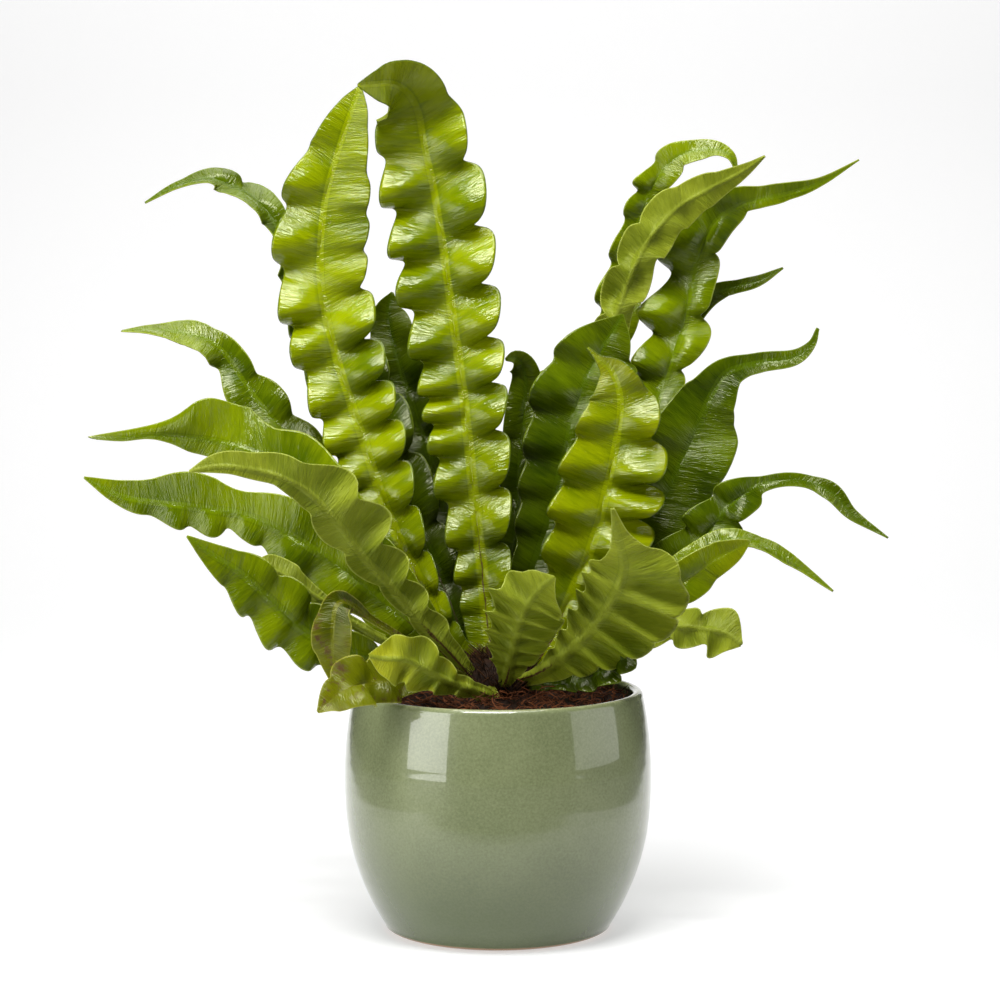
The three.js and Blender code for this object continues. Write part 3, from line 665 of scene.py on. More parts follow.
@dataclass(frozen=True)
class Waves:
    """How the blades of this plant wave. A pair is for the left and the right half."""

    cup: float = 0.14  # how far both halves stand up from the rib, as a share of the half width
    sweep: Pair = (0.04, 0.13)  # how far the margins run ahead towards the tip
    scallop: float = 0.36  # how far the waves pull the outline in and out, as a share of their height
    # How far a lobe's widest place lies below its middle on the left half and above it on the right
    # one, in radians.
    high: Pair = (0.3, 0.9)
    # How far the lobes jut out beside the creases, above them on the left half and below them on
    # the right one, as a share of their height.
    hook: Pair = (0.26, 0.42)
    hook_bend: float = 0.65  # how suddenly they do
    slip: float = 0.86  # how far they slide along the rib, as a share of what would fold them over
    slip_power: float = 0.5  # how soon they do on the way from the rib to the margin
    lean: float = 0.9  # how far the lobes lean over to the stalk
    lean_power: float = 0.6  # how late they do on the way from the rib to the margin
    lag: float = 2.2  # how far the waves of the right margin run before those of the left, in radians
    start: float = 1.7  # how far each frond's waves are shifted from the last one's, in radians
    drift: float = 0.5  # how far the waves stray from an even spacing, in radians
    drift_cycles: float = 3.05  # how often they do along the frond
    swell: float = 0.18  # how far the waves grow and shrink, as a share of their height
    swell_cycles: float = 2.7  # how often they do along the frond
    stalk_share: float = 0.14  # share of the frond over which the waves rise from the stalk
    tip_share: float = 0.16  # share over which they die out at the tip
    roll: float = 2.1  # how far the lobes' margins roll back, as the angle of a sine
    roll_power: float = 0.8  # how late the lobes rise on the way from the rib, 1 for evenly
    crease_power: float = 0.9  # how late the creases sink on that way
    even: float = 0.03  # share of the frond over which listed lobes pass into one another
    full: float = 0.3  # height from which on a wave slides as far as slip says
    slowest: float = 0.12  # least turn of the waves in a millimetre, in radians

    def ends(self, t: np.ndarray) -> tuple[np.ndarray, np.ndarray]:
        """How far the waves have risen from the stalk, and what the tip leaves of them."""
        rise = smooth_step(0.0, self.stalk_share, t)
        return rise, 1.0 - smooth_step(1.0 - self.tip_share, 1.0, t)


@dataclass(frozen=True)
class Blade:
    """Fine sizes that all blades share, in millimetres."""

    row_step: float = 1.25  # length of one row of faces
    rib_columns: int = 4  # columns on one side of the rib's ridge
    lobe_columns: int = 11  # columns from the ridge to the margin
    crowding: float = 1.15  # how much closer those lie at the margin, 1 for evenly
    margin: float = 0.22  # half the thickness at the margin
    middle: float = 0.32  # half the thickness of the blade
    thin_power: int = 4  # how late it thins towards the margin
    rib_width: float = 4.9  # half the width of the rib at the stalk
    rib_tip: float = 0.42  # half its width at the tip, as a share of that
    rib_full: float = 34.0  # half width from which on the rib is that wide
    rib_most: float = 0.72  # share of a narrow blade that the rib may take up
    rib_above: float = 0.2  # how far the rib stands out of the upper face at the stalk
    rib_below: float = 1.15  # how far it stands out of the lower face
    rib_sharp: Pair = (1.5, 1.2)  # how sharp its ridge is on the upper and the lower face
    rib_fading: float = 0.75  # share of its height that it loses on the way to the tip
    pucker: float = 0.24  # height of the fine ripples that follow the veins
    pucker_length: float = 4.6  # from one ripple to the next
    pucker_patch: float = 13.0  # from one patch of ripples to the next
    pucker_apart: float = 7.0  # how far the two halves read them apart
    pucker_rise: Pair = (0.08, 0.45)  # shares of the half width between which they rise
    pucker_full: float = 20.0  # half width of a blade whose ripples are as high as that
    pucker_narrow: float = 8.0  # half width below which they are lower still
    frill: float = 0.03  # height of the small waves of the margin, as a share of the half width
    frill_length: float = 7.5  # from one of them to the next
    tip_half: float = 0.5  # least half width


@dataclass(frozen=True)
class Spine:
    """A rib line with the directions of its blade, one row for each row of the blade."""

    points: np.ndarray  # points of the rib, in millimetres
    along: np.ndarray  # direction towards the tip
    across: np.ndarray  # direction from the left margin to the right one
    outward: np.ndarray  # direction out of the upper face
    half: np.ndarray  # half width, in millimetres
    length: float  # length of the rib, in millimetres


@dataclass(frozen=True)
class Places:
    """Where the points of a blade lie on it, in rows from the stalk and columns from the left."""

    t: np.ndarray  # place along the frond, from 0 to 1
    share: np.ndarray  # distance from the rib as a share of the half width, negative on the left
    reach: np.ndarray  # the same without its sign
    wide: np.ndarray  # half width, in millimetres
    x: np.ndarray  # distance from the rib, in millimetres, negative on the left
    y: np.ndarray  # distance along the rib, in millimetres
    ribness: np.ndarray  # 1 on the rib's ridge and 0 beside it


@dataclass(frozen=True)
class Frond:
    """One frond of the plant."""

    name: str  # name of its solid, without the word frond
    look: Look  # which finish it wears
    # Points of the rib from the crown to the tip: x, y, z in millimetres, the turn of the blade in
    # degrees and the half width.
    rib: tuple[tuple[float, ...], ...]
    # Even ones, or those that are listed one by one for the left and the right half, from the stalk to the
    #     # tip: each one's place in thousandths of the rib and its height in hundredths of the half
    #     # width.
    lobes: Even | tuple[tuple[Pair, ...], tuple[Pair, ...]]
    # Share of the half width that the left and the right half reach, first at the stalk and then at
    # the tip.
    widths: tuple[Pair, Pair] = ((1.0, 1.0), (1.0, 1.0))
    waving: Waves = Waves()  # how this blade waves
    facing: Facing = Facing.FRONT  # where its upper face looks
    yellow: float = 0.04  # how yellow it is at the tip and along the margins, from 0 to 1
    worn: float = 0.0  # how brown its patches are, from 0 to 1

    sizes = Blade()
    # How far apart the fronds read the patterns of their finish, and how long a stain is.
    pattern_step = 500.0
    stain_length = 31.0
    # Where the yellow of the tip rises, where the brown groove of the stalk ends, its edges.
    tip_yellow = (0.7, 1.0)
    groove_end = (0.12, 0.4)
    groove_edge = (0.9, 0.99)

    def spine(self) -> Spine:
        """Samples the rib and turns the blade about it.

        Returns:
            The rib line, with the upper face turned from where the frond faces.
        """
        points = np.array(self.rib, dtype=float)
        rows = int(through_points(points, 2)[1] / self.sizes.row_step)
        samples, length = through_points(points, rows)
        turn, half = np.radians(samples[:, 3:4]), samples[:, 4:]
        along = unit(np.gradient(samples[:, :3], axis=0))
        aim = np.array(self.facing.value)
        level = unit(aim - (along @ aim)[:, None] * along)
        outward = np.cos(turn) * level + np.sin(turn) * np.cross(along, level)
        half = np.maximum(half, self.sizes.tip_half)
        return Spine(samples[:, :3], along, np.cross(along, outward), outward, half, length)

    def places(self, spine: Spine) -> Places:
        """Lays the rows and columns over the blade.

        The first columns follow the ridge of the rib, whose width changes along the
        frond, and the others share out the rest of the half.

        Args:
            spine: The frond's rib line.

        Returns:
            The places of all points.
        """
        size, half = self.sizes, spine.half
        t = np.linspace(0.0, 1.0, len(half))[:, None]
        taper = size.rib_width * (1.0 + (size.rib_tip - 1.0) * t)
        stout = np.sqrt(np.minimum(1.0, half.max() / size.rib_full))
        ridge = np.minimum(stout * taper, size.rib_most * half)
        edge = ridge / half
        inner = edge * np.linspace(0.0, 1.0, size.rib_columns + 1)[None, :]
        outer = 1.0 - (1.0 - np.linspace(0.0, 1.0, size.lobe_columns + 1)[None, 1:]) ** size.crowding
        outer = edge + (1.0 - edge) * outer
        one_half = np.concatenate([inner, outer], axis=1)
        share = np.concatenate([-one_half[:, :0:-1], one_half], axis=1)
        left = share < 0.0
        at_stalk, at_tip = (np.where(left, *pair) for pair in self.widths)
        wide = half * ((1.0 - t) * at_stalk + t * at_tip)
        x = share * wide
        ribness = np.clip(1.0 - (x / ridge) ** 2, 0.0, 1.0)
        return Places(t, share, np.abs(share), wide, x, t * spine.length, ribness)

    def wave(self, t: np.ndarray, half: int, seed: int) -> tuple[np.ndarray, np.ndarray]:
        """The waves of one half along the rib.

        Args:
            t: Place along the frond, from 0 to 1.
            half: 0 for the left half and 1 for the right one.
            seed: Number of the frond, which shifts its even waves.

        Returns:
            Their phase, in radians, and their height as a share of the half width.
        """
        way, lobes = self.waving, self.lobes
        rise, fall = way.ends(t)
        if isinstance(lobes, Even):
            turns, lag, start = WHOLE_TURN * t, way.lag * half, way.start * seed
            stray = way.drift * np.sin(way.drift_cycles * turns + 2.0 * lag + start)
            swell = 1.0 + way.swell * np.sin(way.swell_cycles * turns + lag + start)
            return lobes.waves * turns + lag + start + stray, lobes.height * rise * fall * swell
        place, height = (np.array(lobes[half]) / (1000.0, 100.0)).T
        first, last = 2.0 * place[0] - place[1], 2.0 * place[-1] - place[-2]
        place = np.concatenate([[first], place, [last]])
        height = np.concatenate([[0.0], height, [0.0]])
        width = max(3, int(way.even * len(t)) | 1)
        window = np.hanning(width + 2)[1:-1]
        window /= window.sum()
        phase, height = (
            np.convolve(np.pad(row, width // 2, mode="edge"), window, mode="valid")[:, None]
            for row in (
                np.interp(t[:, 0], place, WHOLE_TURN * np.arange(len(place))),
                np.interp(t[:, 0], place, height),
            )
        )
        return phase, height * rise

    def offsets(self, at: Places, length: float, seed: int) -> tuple[np.ndarray, ...]:
        """How far the points of the middle surface lie from the rib.

        The waves are a cosine of the place along the rib, and the slide is the sine of the
        same angle, which rounds the lobes and pinches the creases between them.

        Args:
            at: Places of the points on the blade.
            length: Length of the rib.
            seed: Number of the frond, which shifts its waves.

        Returns:
            The distances across the blade, out of its upper face and along the rib.
        """
        size, way = self.sizes, self.waving
        wide, reach, side, left = at.wide, at.reach, np.sign(at.share), at.share < 0.0
        phases, heights = zip(*(self.wave(at.t, half, seed) for half in (0, 1)))
        phase, height = np.where(left, *phases), np.where(left, *heights)
        pace = (np.gradient(one, axis=0) * len(at.t) / length for one in phases)
        radian = 1.0 / np.maximum(np.where(left, *pace), way.slowest)
        rise, fall = way.ends(at.t)
        slide = np.minimum(1.0, height / way.full) * np.sin(phase - way.lean * reach**way.lean_power)
        ahead = rise * fall * np.where(left, *way.sweep) * wide * reach
        ahead = ahead + way.slip * radian * slide * reach**way.slip_power

        crease = phase - math.pi
        jut = -side * np.sin(crease + way.hook_bend * np.sin(crease))
        jut = np.where(left, *way.hook) * np.minimum(height, way.full) * jut
        bulge = way.scallop * height * np.cos(phase - side * np.where(left, *way.high))
        out = at.share * wide * (1.0 + (bulge + jut) * reach)

        crest = np.cos(phase)
        opened = 0.5 + 0.5 * crest
        domed = np.sin(way.roll * reach**way.roll_power)
        bowed = opened * domed + (1.0 - opened) * reach**way.crease_power
        lift = wide * (way.cup * reach + height * crest * bowed)
        vein = at.y - LeafFinish.slant * np.abs(at.x) + size.pucker_apart * side
        ripple = drift(vein / size.pucker_length, seed + side)
        ripple = ripple * drift(vein / size.pucker_patch, seed + 0.5)
        free = smooth_step(*size.pucker_rise, reach) * rise * (wide / size.pucker_full)
        lift = lift + size.pucker * ripple * free * np.minimum(1.0, wide / size.pucker_narrow)
        frill = drift(at.y / size.frill_length, seed + 3.0 * side)
        return out, lift + size.frill * wide * frill * reach**3 * rise * fall, ahead

    def skin(self, seed: int) -> Skin:
        """Shapes the blade.

        A point of the middle surface is the rib point, moved across the blade, out of it
        and along it by its offsets. The two faces lie half the thickness off the middle
        surface on either side, and the rib adds a ridge to both.

        Args:
            seed: Number of the frond, which shifts its waves.

        Returns:
            The closed skin, with its marks.
        """
        size, spine = self.sizes, self.spine()
        at = self.places(spine)
        out, lift, ahead = self.offsets(at, spine.length, seed)
        middle = (
            spine.points[:, None, :]
            + spine.across[:, None, :] * out[..., None]
            + spine.outward[:, None, :] * lift[..., None]
            + spine.along[:, None, :] * ahead[..., None]
        )
        fading = 1.0 - size.rib_fading * at.t
        leaf = size.margin + (size.middle - size.margin) * (1.0 - at.reach**size.thin_power)
        above = leaf + size.rib_above * fading * at.ribness ** size.rib_sharp[0]
        below = leaf + size.rib_below * fading * at.ribness ** size.rib_sharp[1]
        normal = unit(np.cross(np.gradient(middle, axis=1), np.gradient(middle, axis=0)))
        facing = np.sign(np.einsum("ijk,ik->ij", normal, spine.outward).mean())
        upper = middle + normal * facing * above[..., None]
        lower = middle - normal * facing * below[..., None]
        return self.closed(upper, lower, self.marks(at, seed))

    def marks(self, at: Places, seed: int) -> dict[str, np.ndarray]:
        """What the finishes read: the place on the blade, and how it is coloured there.

        Args:
            at: Places of the points on the blade.
            seed: Number of the frond.

        Returns:
            Two sets of three values for each point of the middle surface.
        """
        y = np.broadcast_to(at.y, at.x.shape)
        place = np.stack([at.x, y + self.pattern_step * seed, (1.0 - at.reach) * at.wide], axis=-1)
        stain = 0.5 + 0.5 * drift(y / self.stain_length + 0.8 * at.share, seed + 0.7)
        near_tip = smooth_step(*self.tip_yellow, at.t)
        ageing = self.yellow * (0.35 * stain + 0.7 * at.reach**3 * stain + near_tip)
        groove = 1.0 - smooth_step(*self.groove_end, at.t)
        groove = groove * smooth_step(*self.groove_edge, at.ribness)
        browning = self.worn * (0.35 + 0.65 * stain) + 0.8 * groove
        coloured = [at.ribness, np.clip(ageing, 0.0, 0.95), np.clip(browning, 0.0, 1.0)]
        return {"blade_place": place, "blade_marks": np.stack(coloured, axis=-1)}

    @staticmethod
    def closed(upper: np.ndarray, lower: np.ndarray, marks: dict[str, np.ndarray]) -> Skin:
        """Joins both faces round the margin, the stalk and the tip.

        Each row becomes a ring: the upper face from left to right and the lower face back.

        Args:
            upper: Points of the upper face, in rows, in millimetres.
            lower: Points of the lower face.
            marks: Values for each point of the middle surface.

        Returns:
            The closed skin.
        """
        rows, columns = upper.shape[:2]
        around = 2 * columns
        ring = np.concatenate([upper, lower[:, ::-1]], axis=1)
        step = np.arange(columns - 1)
        cap = np.stack([step, step + 1, around - 2 - step, around - 1 - step], axis=-1)
        ends = np.vstack([cap[:, ::-1], cap + (rows - 1) * around])
        below = np.tile(np.arange(around) >= columns, rows - 1)
        wears = np.concatenate([below, np.zeros(len(ends))])
        both = {
            name: np.concatenate([values, values[:, ::-1]], axis=1).reshape(-1, 3)
            for name, values in marks.items()
        }
        faces = np.vstack([rings_to_faces(rows, around), ends])
        return Skin(ring.reshape(-1, 3) * MM, faces, wears, both)


FRONDS: tuple[Frond, ...] = (
    Frond("tall_left", Look.BRIGHT, (
        (-7, 6, 133, 0, 7), (-26, 9, 149, 0, 9), (-39, 14, 176, 0, 9), (-57, 20, 213, 4, 15),
        (-72, 26, 257, 6, 20), (-86, 31, 300, 6, 22), (-94, 35, 339, 4, 24), (-92, 38, 379, 0, 23.5),
        (-83, 40, 413, -4, 14.5), (-77, 40, 430, -8, 9), (-73, 40, 442, -10, 1),
    ), (
        ((99, 20), (144, 30), (204, 32), (259, 30), (314, 28), (374, 26), (436, 26), (501, 27), (588, 30),
         (648, 30), (748, 26), (833, 20), (926, 10)),
        ((69, 20), (119, 32), (174, 32), (244, 32), (324, 30), (394, 30), (458, 30), (520, 32), (597, 32),
         (689, 9), (745, 6), (813, 7), (894, 5)),
    ), widths=((1, 1), (0.93, 1))),
    Frond("tall_centre", Look.BRIGHT, (
        (-1, 8, 137, 0, 8), (-5, 12, 155, 0, 12), (-9, 17, 192, 0, 14), (-13, 22, 229, 0, 18),
        (-19, 27, 284, 0, 21), (-26, 31, 334, 0, 24), (-32, 33, 376, 0, 25), (-39, 33, 411.4, 0, 23),
        (-42.1, 30, 427.4, -3, 21.5), (-47, 20, 436.6, -6, 19), (-54.3, 8, 440.3, -8, 13.5),
        (-62.6, -4, 439.4, -10, 8), (-71.4, -12, 438.2, -12, 1),
    ), (
        ((94, 20), (143, 32), (203, 32), (284, 30), (344, 27), (389, 26), (427, 26), (495, 31), (582, 30),
         (647, 31), (738, 31), (819, 8), (892, 0)),
        ((60, 20), (125, 30), (211, 30), (291, 30), (378, 30), (439, 30), (511, 32), (595, 32), (685, 32),
         (784, 20), (883, 6)),
    ), widths=((1, 1), (1.08, 0.93))),
    Frond("left_inner", Look.DARK, (
        (-6, 14, 132, 0, 2.6), (-19, 42, 181, 0, 8), (-33, 58, 231, 0, 14), (-46, 68, 269, 0, 18),
        (-56, 76, 301, 0, 14), (-60, 81, 321, 5, 9), (-58, 84, 333, 10, 0.8),
    ), (
        ((150, 20), (280, 25), (380, 28), (480, 28), (580, 28), (700, 28), (840, 20)),
        ((150, 20), (260, 25), (350, 28), (450, 28), (550, 28), (660, 28), (790, 25), (900, 10)),
    )),
    Frond("left_arch", Look.DARK, (
        (-10, 11, 131, 0, 2.6), (-35.2, 32, 190.5, 8, 12), (-64.4, 46, 248.4, 12, 20),
        (-89.1, 58, 302.4, 16, 20), (-104.1, 67, 339, 24, 15), (-115.3, 73, 360.2, 40, 7.5),
        (-124.1, 75, 374.3, 46, 8), (-133.3, 76, 384.1, 48, 9.5), (-143.6, 76, 390, 48, 9),
        (-156.4, 74, 394.3, 50, 6.5), (-174, 71, 390.4, 50, 3.5), (-191.1, 68, 381.1, 48, 0.7),
    ), Even(10, 0.3)),
    Frond("left_twist", Look.GREEN, (
        (-14, 7, 129, 0, 2.6), (-31.2, 18, 155.2, 17, 3.4), (-48.3, 25, 175.2, 20, 6.375),
        (-69.4, 34, 198.3, 20, 10.2), (-99.1, 42, 235.3, 24, 13.6), (-117.5, 46, 260.3, 26, 13.6),
        (-133.2, 49, 280, 18, 11.475), (-143.4, 50, 295.5, 14, 8.5), (-152.9, 49, 305.7, 36, 9.775),
        (-166, 47, 310.6, 48, 9.35), (-186, 44, 312.8, 54, 4.25), (-200.7, 42, 312.3, 54, 0.6),
    ), (
        ((150, 12), (282, 14), (445, 15), (595, 18), (728, 20), (815, 15), (948, 4)),
        ((150, 12), (282, 14), (430, 15), (547, 17), (657, 18), (762, 18), (870, 6)),
    ), widths=((1, 1.1), (1.15, 0.9)), waving=Waves(scallop=0.9, hook=(0.1, 0.1))),
    Frond("left_upper", Look.GREEN, (
        (-17, 3, 131, 0, 2.6), (-35.7, 5, 155.2, 3, 5), (-74.4, 7, 202.4, 3, 8), (-104, 13, 233.5, 3, 10),
        (-118.8, 15, 244.4, 3, 8), (-132.5, 16, 249.6, 3, 14.5), (-147.3, 17, 254.3, 4, 15),
        (-160.8, 16, 256.5, 4, 12.5), (-173.4, 16, 257.5, 5, 6), (-183.8, 15, 257.6, 8, 2.8),
        (-197.4, 14, 256, 10, 2), (-211, 14, 256, 10, 0.6),
    ), (
        ((300, 10), (500, 15), (620, 15), (720, 8), (850, 4)),
        ((200, 10), (440, 34), (860, 30)),
    ), widths=((0.6, 1.85), (0.6, 1.85)), waving=Waves(cup=-0.1)),
    Frond("left_middle", Look.GREEN, (
        (-19, 0, 129, 10, 2.6), (-31.3, -3, 147.8, 3, 6), (-57.1, -7, 170.3, 3, 14),
        (-85.9, -10, 193.6, 3, 20), (-111.1, -11, 209.2, 3, 15.5), (-132, -9, 217.9, 4, 11),
        (-147, -8, 220.4, 5, 14), (-161.5, -8, 222.5, 6, 14), (-180.3, -7, 224.5, 8, 9.5),
        (-196.9, -6, 228, 11, 6.5), (-214.6, -5, 236.8, 13, 0.6),
    ), (
        ((110, 15), (207, 20), (350, 24), (497, 24), (615, 16), (700, 18), (785, 18), (882, 14)),
        ((120, 10), (340, 12), (520, 10), (735, 5), (950, 3)),
    ), widths=((1.3, 0.8), (0.7, 1.35)), waving=Waves(scallop=0.9, hook=(0.1, 0.1), cup=-0.02)),
    Frond("left_low", Look.GREEN, (
        (-19, -9, 129, 20, 2.6), (-35, -22, 139.9, 12, 5), (-57.9, -28, 143.9, 12, 8),
        (-80.4, -38, 151.4, 12, 13), (-100, -46, 163.6, 12, 17), (-115.6, -52, 179.5, 12, 16),
        (-129.3, -55, 192.5, 14, 12), (-142, -57, 201.2, 14, 7), (-155.1, -60, 211.5, 16, 0.7),
    ), (
        ((228, 12), (385, 22), (510, 22), (620, 24), (757, 20), (880, 10)),
        ((200, 12), (340, 20), (480, 24), (620, 22), (760, 16)),
    ), widths=((0.95, 0.9), (0.95, 0.9)), waving=Waves(scallop=0.7, hook=(0.15, 0.15), cup=-0.12)),
    Frond("front_left", Look.PALE, (
        (-12, -12, 132, 180, 2.6), (-25.7, -22, 149.3, 180, 5), (-34.8, -28, 159.3, 181, 7),
        (-47.3, -36, 175.2, 182, 8), (-57.1, -44, 187.8, 184, 10), (-68.7, -54, 201.9, 186, 13.5),
        (-77.7, -62, 215.7, 187, 16), (-90, -70, 230.8, 189, 14), (-98.6, -74, 238, 190, 10),
        (-111.8, -80, 243.8, 191, 8), (-126, -85, 247.1, 192, 6.5), (-137.9, -88, 247.8, 192, 5),
        (-150.4, -90, 245.5, 194, 0.6),
    ), (
        ((188, 20), (292, 25), (390, 28), (525, 30), (667, 20), (805, 10), (915, 5)),
        ((188, 20), (292, 22), (420, 25), (555, 25), (705, 15), (830, 10)),
    ), widths=((1.3, 0.6), (1.3, 0.6)), waving=Waves(scallop=0.85, hook=(0.15, 0.12)), yellow=0.1),
    Frond("left_short", Look.PALE, (
        (-19, -6, 130, 180, 2.6), (-32.4, -2, 141.4, 180, 3), (-53, -8, 149.5, 184, 3),
        (-75.4, -16, 163, 192, 3), (-92.2, -26, 176.6, 202, 4), (-101.1, -30, 183.2, 206, 7.5),
        (-109, -33, 189.2, 208, 8.5), (-117, -34, 193.4, 206, 7.5), (-123.6, -35, 196, 200, 1),
    ), Even(5, 0.2), yellow=0.1),
    Frond("left_spotted", Look.YELLOW, (
        (-15, -13, 129, 0, 2.6), (-29.8, -24, 143.3, 60, 2.6), (-48.1, -30, 155.5, 60, 2.6),
        (-64, -38, 166.7, 50, 2.8), (-73.7, -46, 175.3, 34, 4), (-78.9, -52, 177.5, 20, 6.5),
        (-81.7, -56, 173.9, 14, 8.5), (-82.6, -58, 164.1, 14, 10), (-82.7, -58, 152, 14, 9),
        (-83.8, -57, 138.2, 12, 0.8),
    ), Even(5, 0.12), yellow=0.12, worn=0.62),
    Frond("rim_left", Look.YELLOW, (
        (-13, -17, 130, 10, 2.6), (-28, -36, 140, 24, 4), (-45, -54, 138, 28, 9), (-64, -68, 139, 28, 13),
        (-78, -76, 135, 26, 11), (-89, -80, 126, 24, 0.8),
    ), Even(5, 0.26), yellow=0.1, worn=0.62),
    Frond("front_curl", Look.PALE, (
        (-5, -20, 130, 180, 2.6), (-3.1, -30, 126.6, 190, 3.6), (-12.2, -40, 131.1, 191, 4.6),
        (-22.2, -52, 136, 192, 6.5), (-32.9, -64, 143.2, 194, 11), (-44.6, -74, 151.1, 192, 13),
        (-55.3, -79, 152.3, 190, 9), (-63.5, -81, 154.1, 190, 0.8),
    ), (
        ((200, 12), (340, 30), (520, 34), (720, 40), (900, 20)),
        ((180, 12), (300, 28), (450, 36), (620, 40), (800, 25)),
    ), waving=Waves(scallop=0.4, hook=(0.1, 0.1)), yellow=0.6, worn=0.1),
    Frond("bright_right", Look.BRIGHT, (
        (9, 4, 134, 0, 2.6), (25, 6, 146, 0, 6), (38, 7, 174, 0, 17), (50, 9, 203, 0, 25),
        (58, 11, 235, 0, 25.5), (63, 13, 261, 0, 21), (64, 14, 278, 0, 16), (60, 15, 291, -10, 8),
        (53, 15, 298, -15, 2.5), (47, 15, 304, -15, 0.6),
    ), (
        ((120, 13), (240, 18), (370, 22), (500, 22), (630, 20), (760, 16), (870, 8)),
        ((120, 13), (220, 18), (330, 26), (430, 29), (540, 34), (630, 29), (770, 21), (880, 10)),
    ), yellow=0.2, worn=0.16),
    Frond("dark_centre", Look.DARK, (
        (3, 12, 136, 0, 2.6), (13, 20, 170, 0, 8), (26, 28, 207, 0, 17), (35, 34, 244, 0, 22),
        (43, 40, 276, 0, 24), (53, 45, 298, 0, 20), (61, 48, 311, 4, 11), (67, 51, 321, 8, 0.8),
    ), (
        ((150, 10), (270, 12), (380, 12), (490, 13), (600, 15), (740, 24), (870, 15)),
        ((150, 10), (250, 12), (350, 12), (450, 13), (560, 14), (680, 15), (830, 22), (930, 6)),
    )),
    Frond("young_fist", Look.DARK, (
        (1, 16, 135, 0, 2.6), (6, 36, 169, 0, 6), (10, 44, 211, 0, 9), (12, 49, 248, 0, 9),
        (14, 52, 274, 0, 9), (15, 52, 285, 0, 9), (13, 49, 294, 0, 7), (9, 46, 298, 0, 4),
        (4, 44, 297, 0, 0.8),
    ), Even(5, 0.3)),
    Frond("loop_right", Look.GREEN, (
        (8, 14, 133, 0, 2.6), (22.6, 42, 179.2, 0, 5), (41.8, 60, 231.3, 0, 8), (54.5, 71, 274.3, 0, 10),
        (62.4, 78, 309.6, 0, 10.5), (67.3, 81, 337.4, 10, 11), (76.1, 83, 369.1, 15, 9.5),
        (84.2, 83, 390.3, 0, 8.5), (96.5, 81, 405.9, -20, 8), (114.9, 79, 410.7, -30, 5.5),
        (126.2, 77, 406.8, -40, 3.5), (129.9, 75, 395.9, -50, 0.6),
    ), (
        ((195, 11), (347, 17), (463, 19), (568, 19), (642, 33), (715, 19), (782, 25), (815, 39), (877, 6),
         (940, 4)),
        ((195, 11), (347, 17), (477, 19), (585, 22), (685, 25), (765, 14), (838, 22), (900, 6), (955, 3)),
    ), waving=Waves(scallop=0.8)),
    Frond("curl_right", Look.PALE, (
        (11, 12, 134, 180, 2.6), (30.5, 36, 185.2, 180, 4), (47.7, 44, 238.3, 180, 7),
        (56.1, 55, 280.3, 186, 8.5), (60.9, 56, 309.9, 190, 9), (68.8, 55, 335.2, 182, 10.5),
        (78.8, 52, 357.6, 180, 11.5), (94.1, 50, 376.2, 184, 11.5), (112, 47, 387.3, 190, 8.5),
        (129.7, 43, 396.6, 195, 4), (141.7, 41, 405, 200, 0.6),
    ), (
        ((130, 15), (290, 20), (480, 30), (593, 35), (695, 40), (775, 22), (845, 20), (907, 8)),
        ((130, 15), (290, 20), (463, 30), (565, 35), (650, 50), (728, 30), (795, 16), (875, 10),
         (940, 6)),
    ), waving=Waves(roll=2.7), yellow=0.1),
    Frond("right_high", Look.GREEN, (
        (15, 9, 132, 0, 2.6), (40.4, 27, 174.9, 0, 6), (64.3, 41, 221.9, 0, 10), (82.9, 51, 267, 0, 11),
        (91.9, 59, 292.1, 0, 13.5), (100.9, 66, 317.9, 0, 16), (104.3, 70, 335.2, 0, 13),
        (109.7, 71, 354.7, 1.2, 14.42), (118.1, 68, 370.9, 2.8, 10.69), (129.4, 62, 379.3, 4.4, 7.9),
        (142.1, 60, 383, 5.6, 5.77), (157, 58, 386.1, 6.8, 4.59), (174, 57, 391.9, 8, 2.32),
        (193.6, 56, 403.6, 10, 0.39),
    ), (
        ((235, 12), (352, 15), (453, 20), (517, 30), (603, 42), (715, 40), (810, 10), (887, 5)),
        ((235, 12), (352, 15), (453, 20), (560, 40), (637, 30), (752, 30), (848, 10), (902, 5)),
    ), widths=((1.3, 0.8), (1.3, 0.8)), waving=Waves(scallop=0.65, roll=2.6)),
    Frond("right_back", Look.DARK, (
        (15, 15, 131, 0, 2.6), (45.8, 45, 178.4, 0, 6), (71.7, 63, 247.5, 0, 8),
        (89.8, 78, 289.4, 0, 6.5), (101.1, 84, 311.2, -8, 6), (110.4, 85, 325.4, -8, 5.5),
        (119.7, 85, 332.5, -10, 5), (130.6, 84, 335.8, -12, 4.2), (142.5, 83, 339.1, -12, 3.2),
        (156, 82, 346.2, -14, 0.6),
    ), Even(7, 0.3)),
    Frond("right_wide", Look.DARK, (
        (18, 5, 130, 0, 2.6), (41.8, 18, 157.3, 0, 6), (64.8, 26, 191.1, 0, 15), (86.3, 32, 219.9, 0, 22),
        (98.7, 36, 243.7, 0, 23.5), (108.4, 39, 265.9, -0.8, 19.99), (114.2, 40, 278.7, -4.8, 13.74),
        (122.5, 38, 290.5, -12.8, 7.83), (139.5, 37, 295.3, -16.8, 5.82), (156.9, 36, 298, -18.4, 4.39),
        (166.3, 35, 304.9, -12, 2.3), (169.8, 34, 314, 0, 0.9),
    ), (
        ((150, 10), (300, 10), (470, 12), (610, 14), (760, 12), (900, 6)),
        ((150, 10), (280, 8), (420, 8), (570, 8), (720, 18), (880, 6)),
    )),
    Frond("right_fork", Look.DARK, (
        (20, -1, 128, 0, 2.6), (41.9, 4, 146.4, -8.8, 3.75), (74.7, 11, 176.2, -11.2, 9),
        (105.7, 13, 201.9, -12.8, 13.48), (123.7, 15, 222.8, -15.2, 11.02),
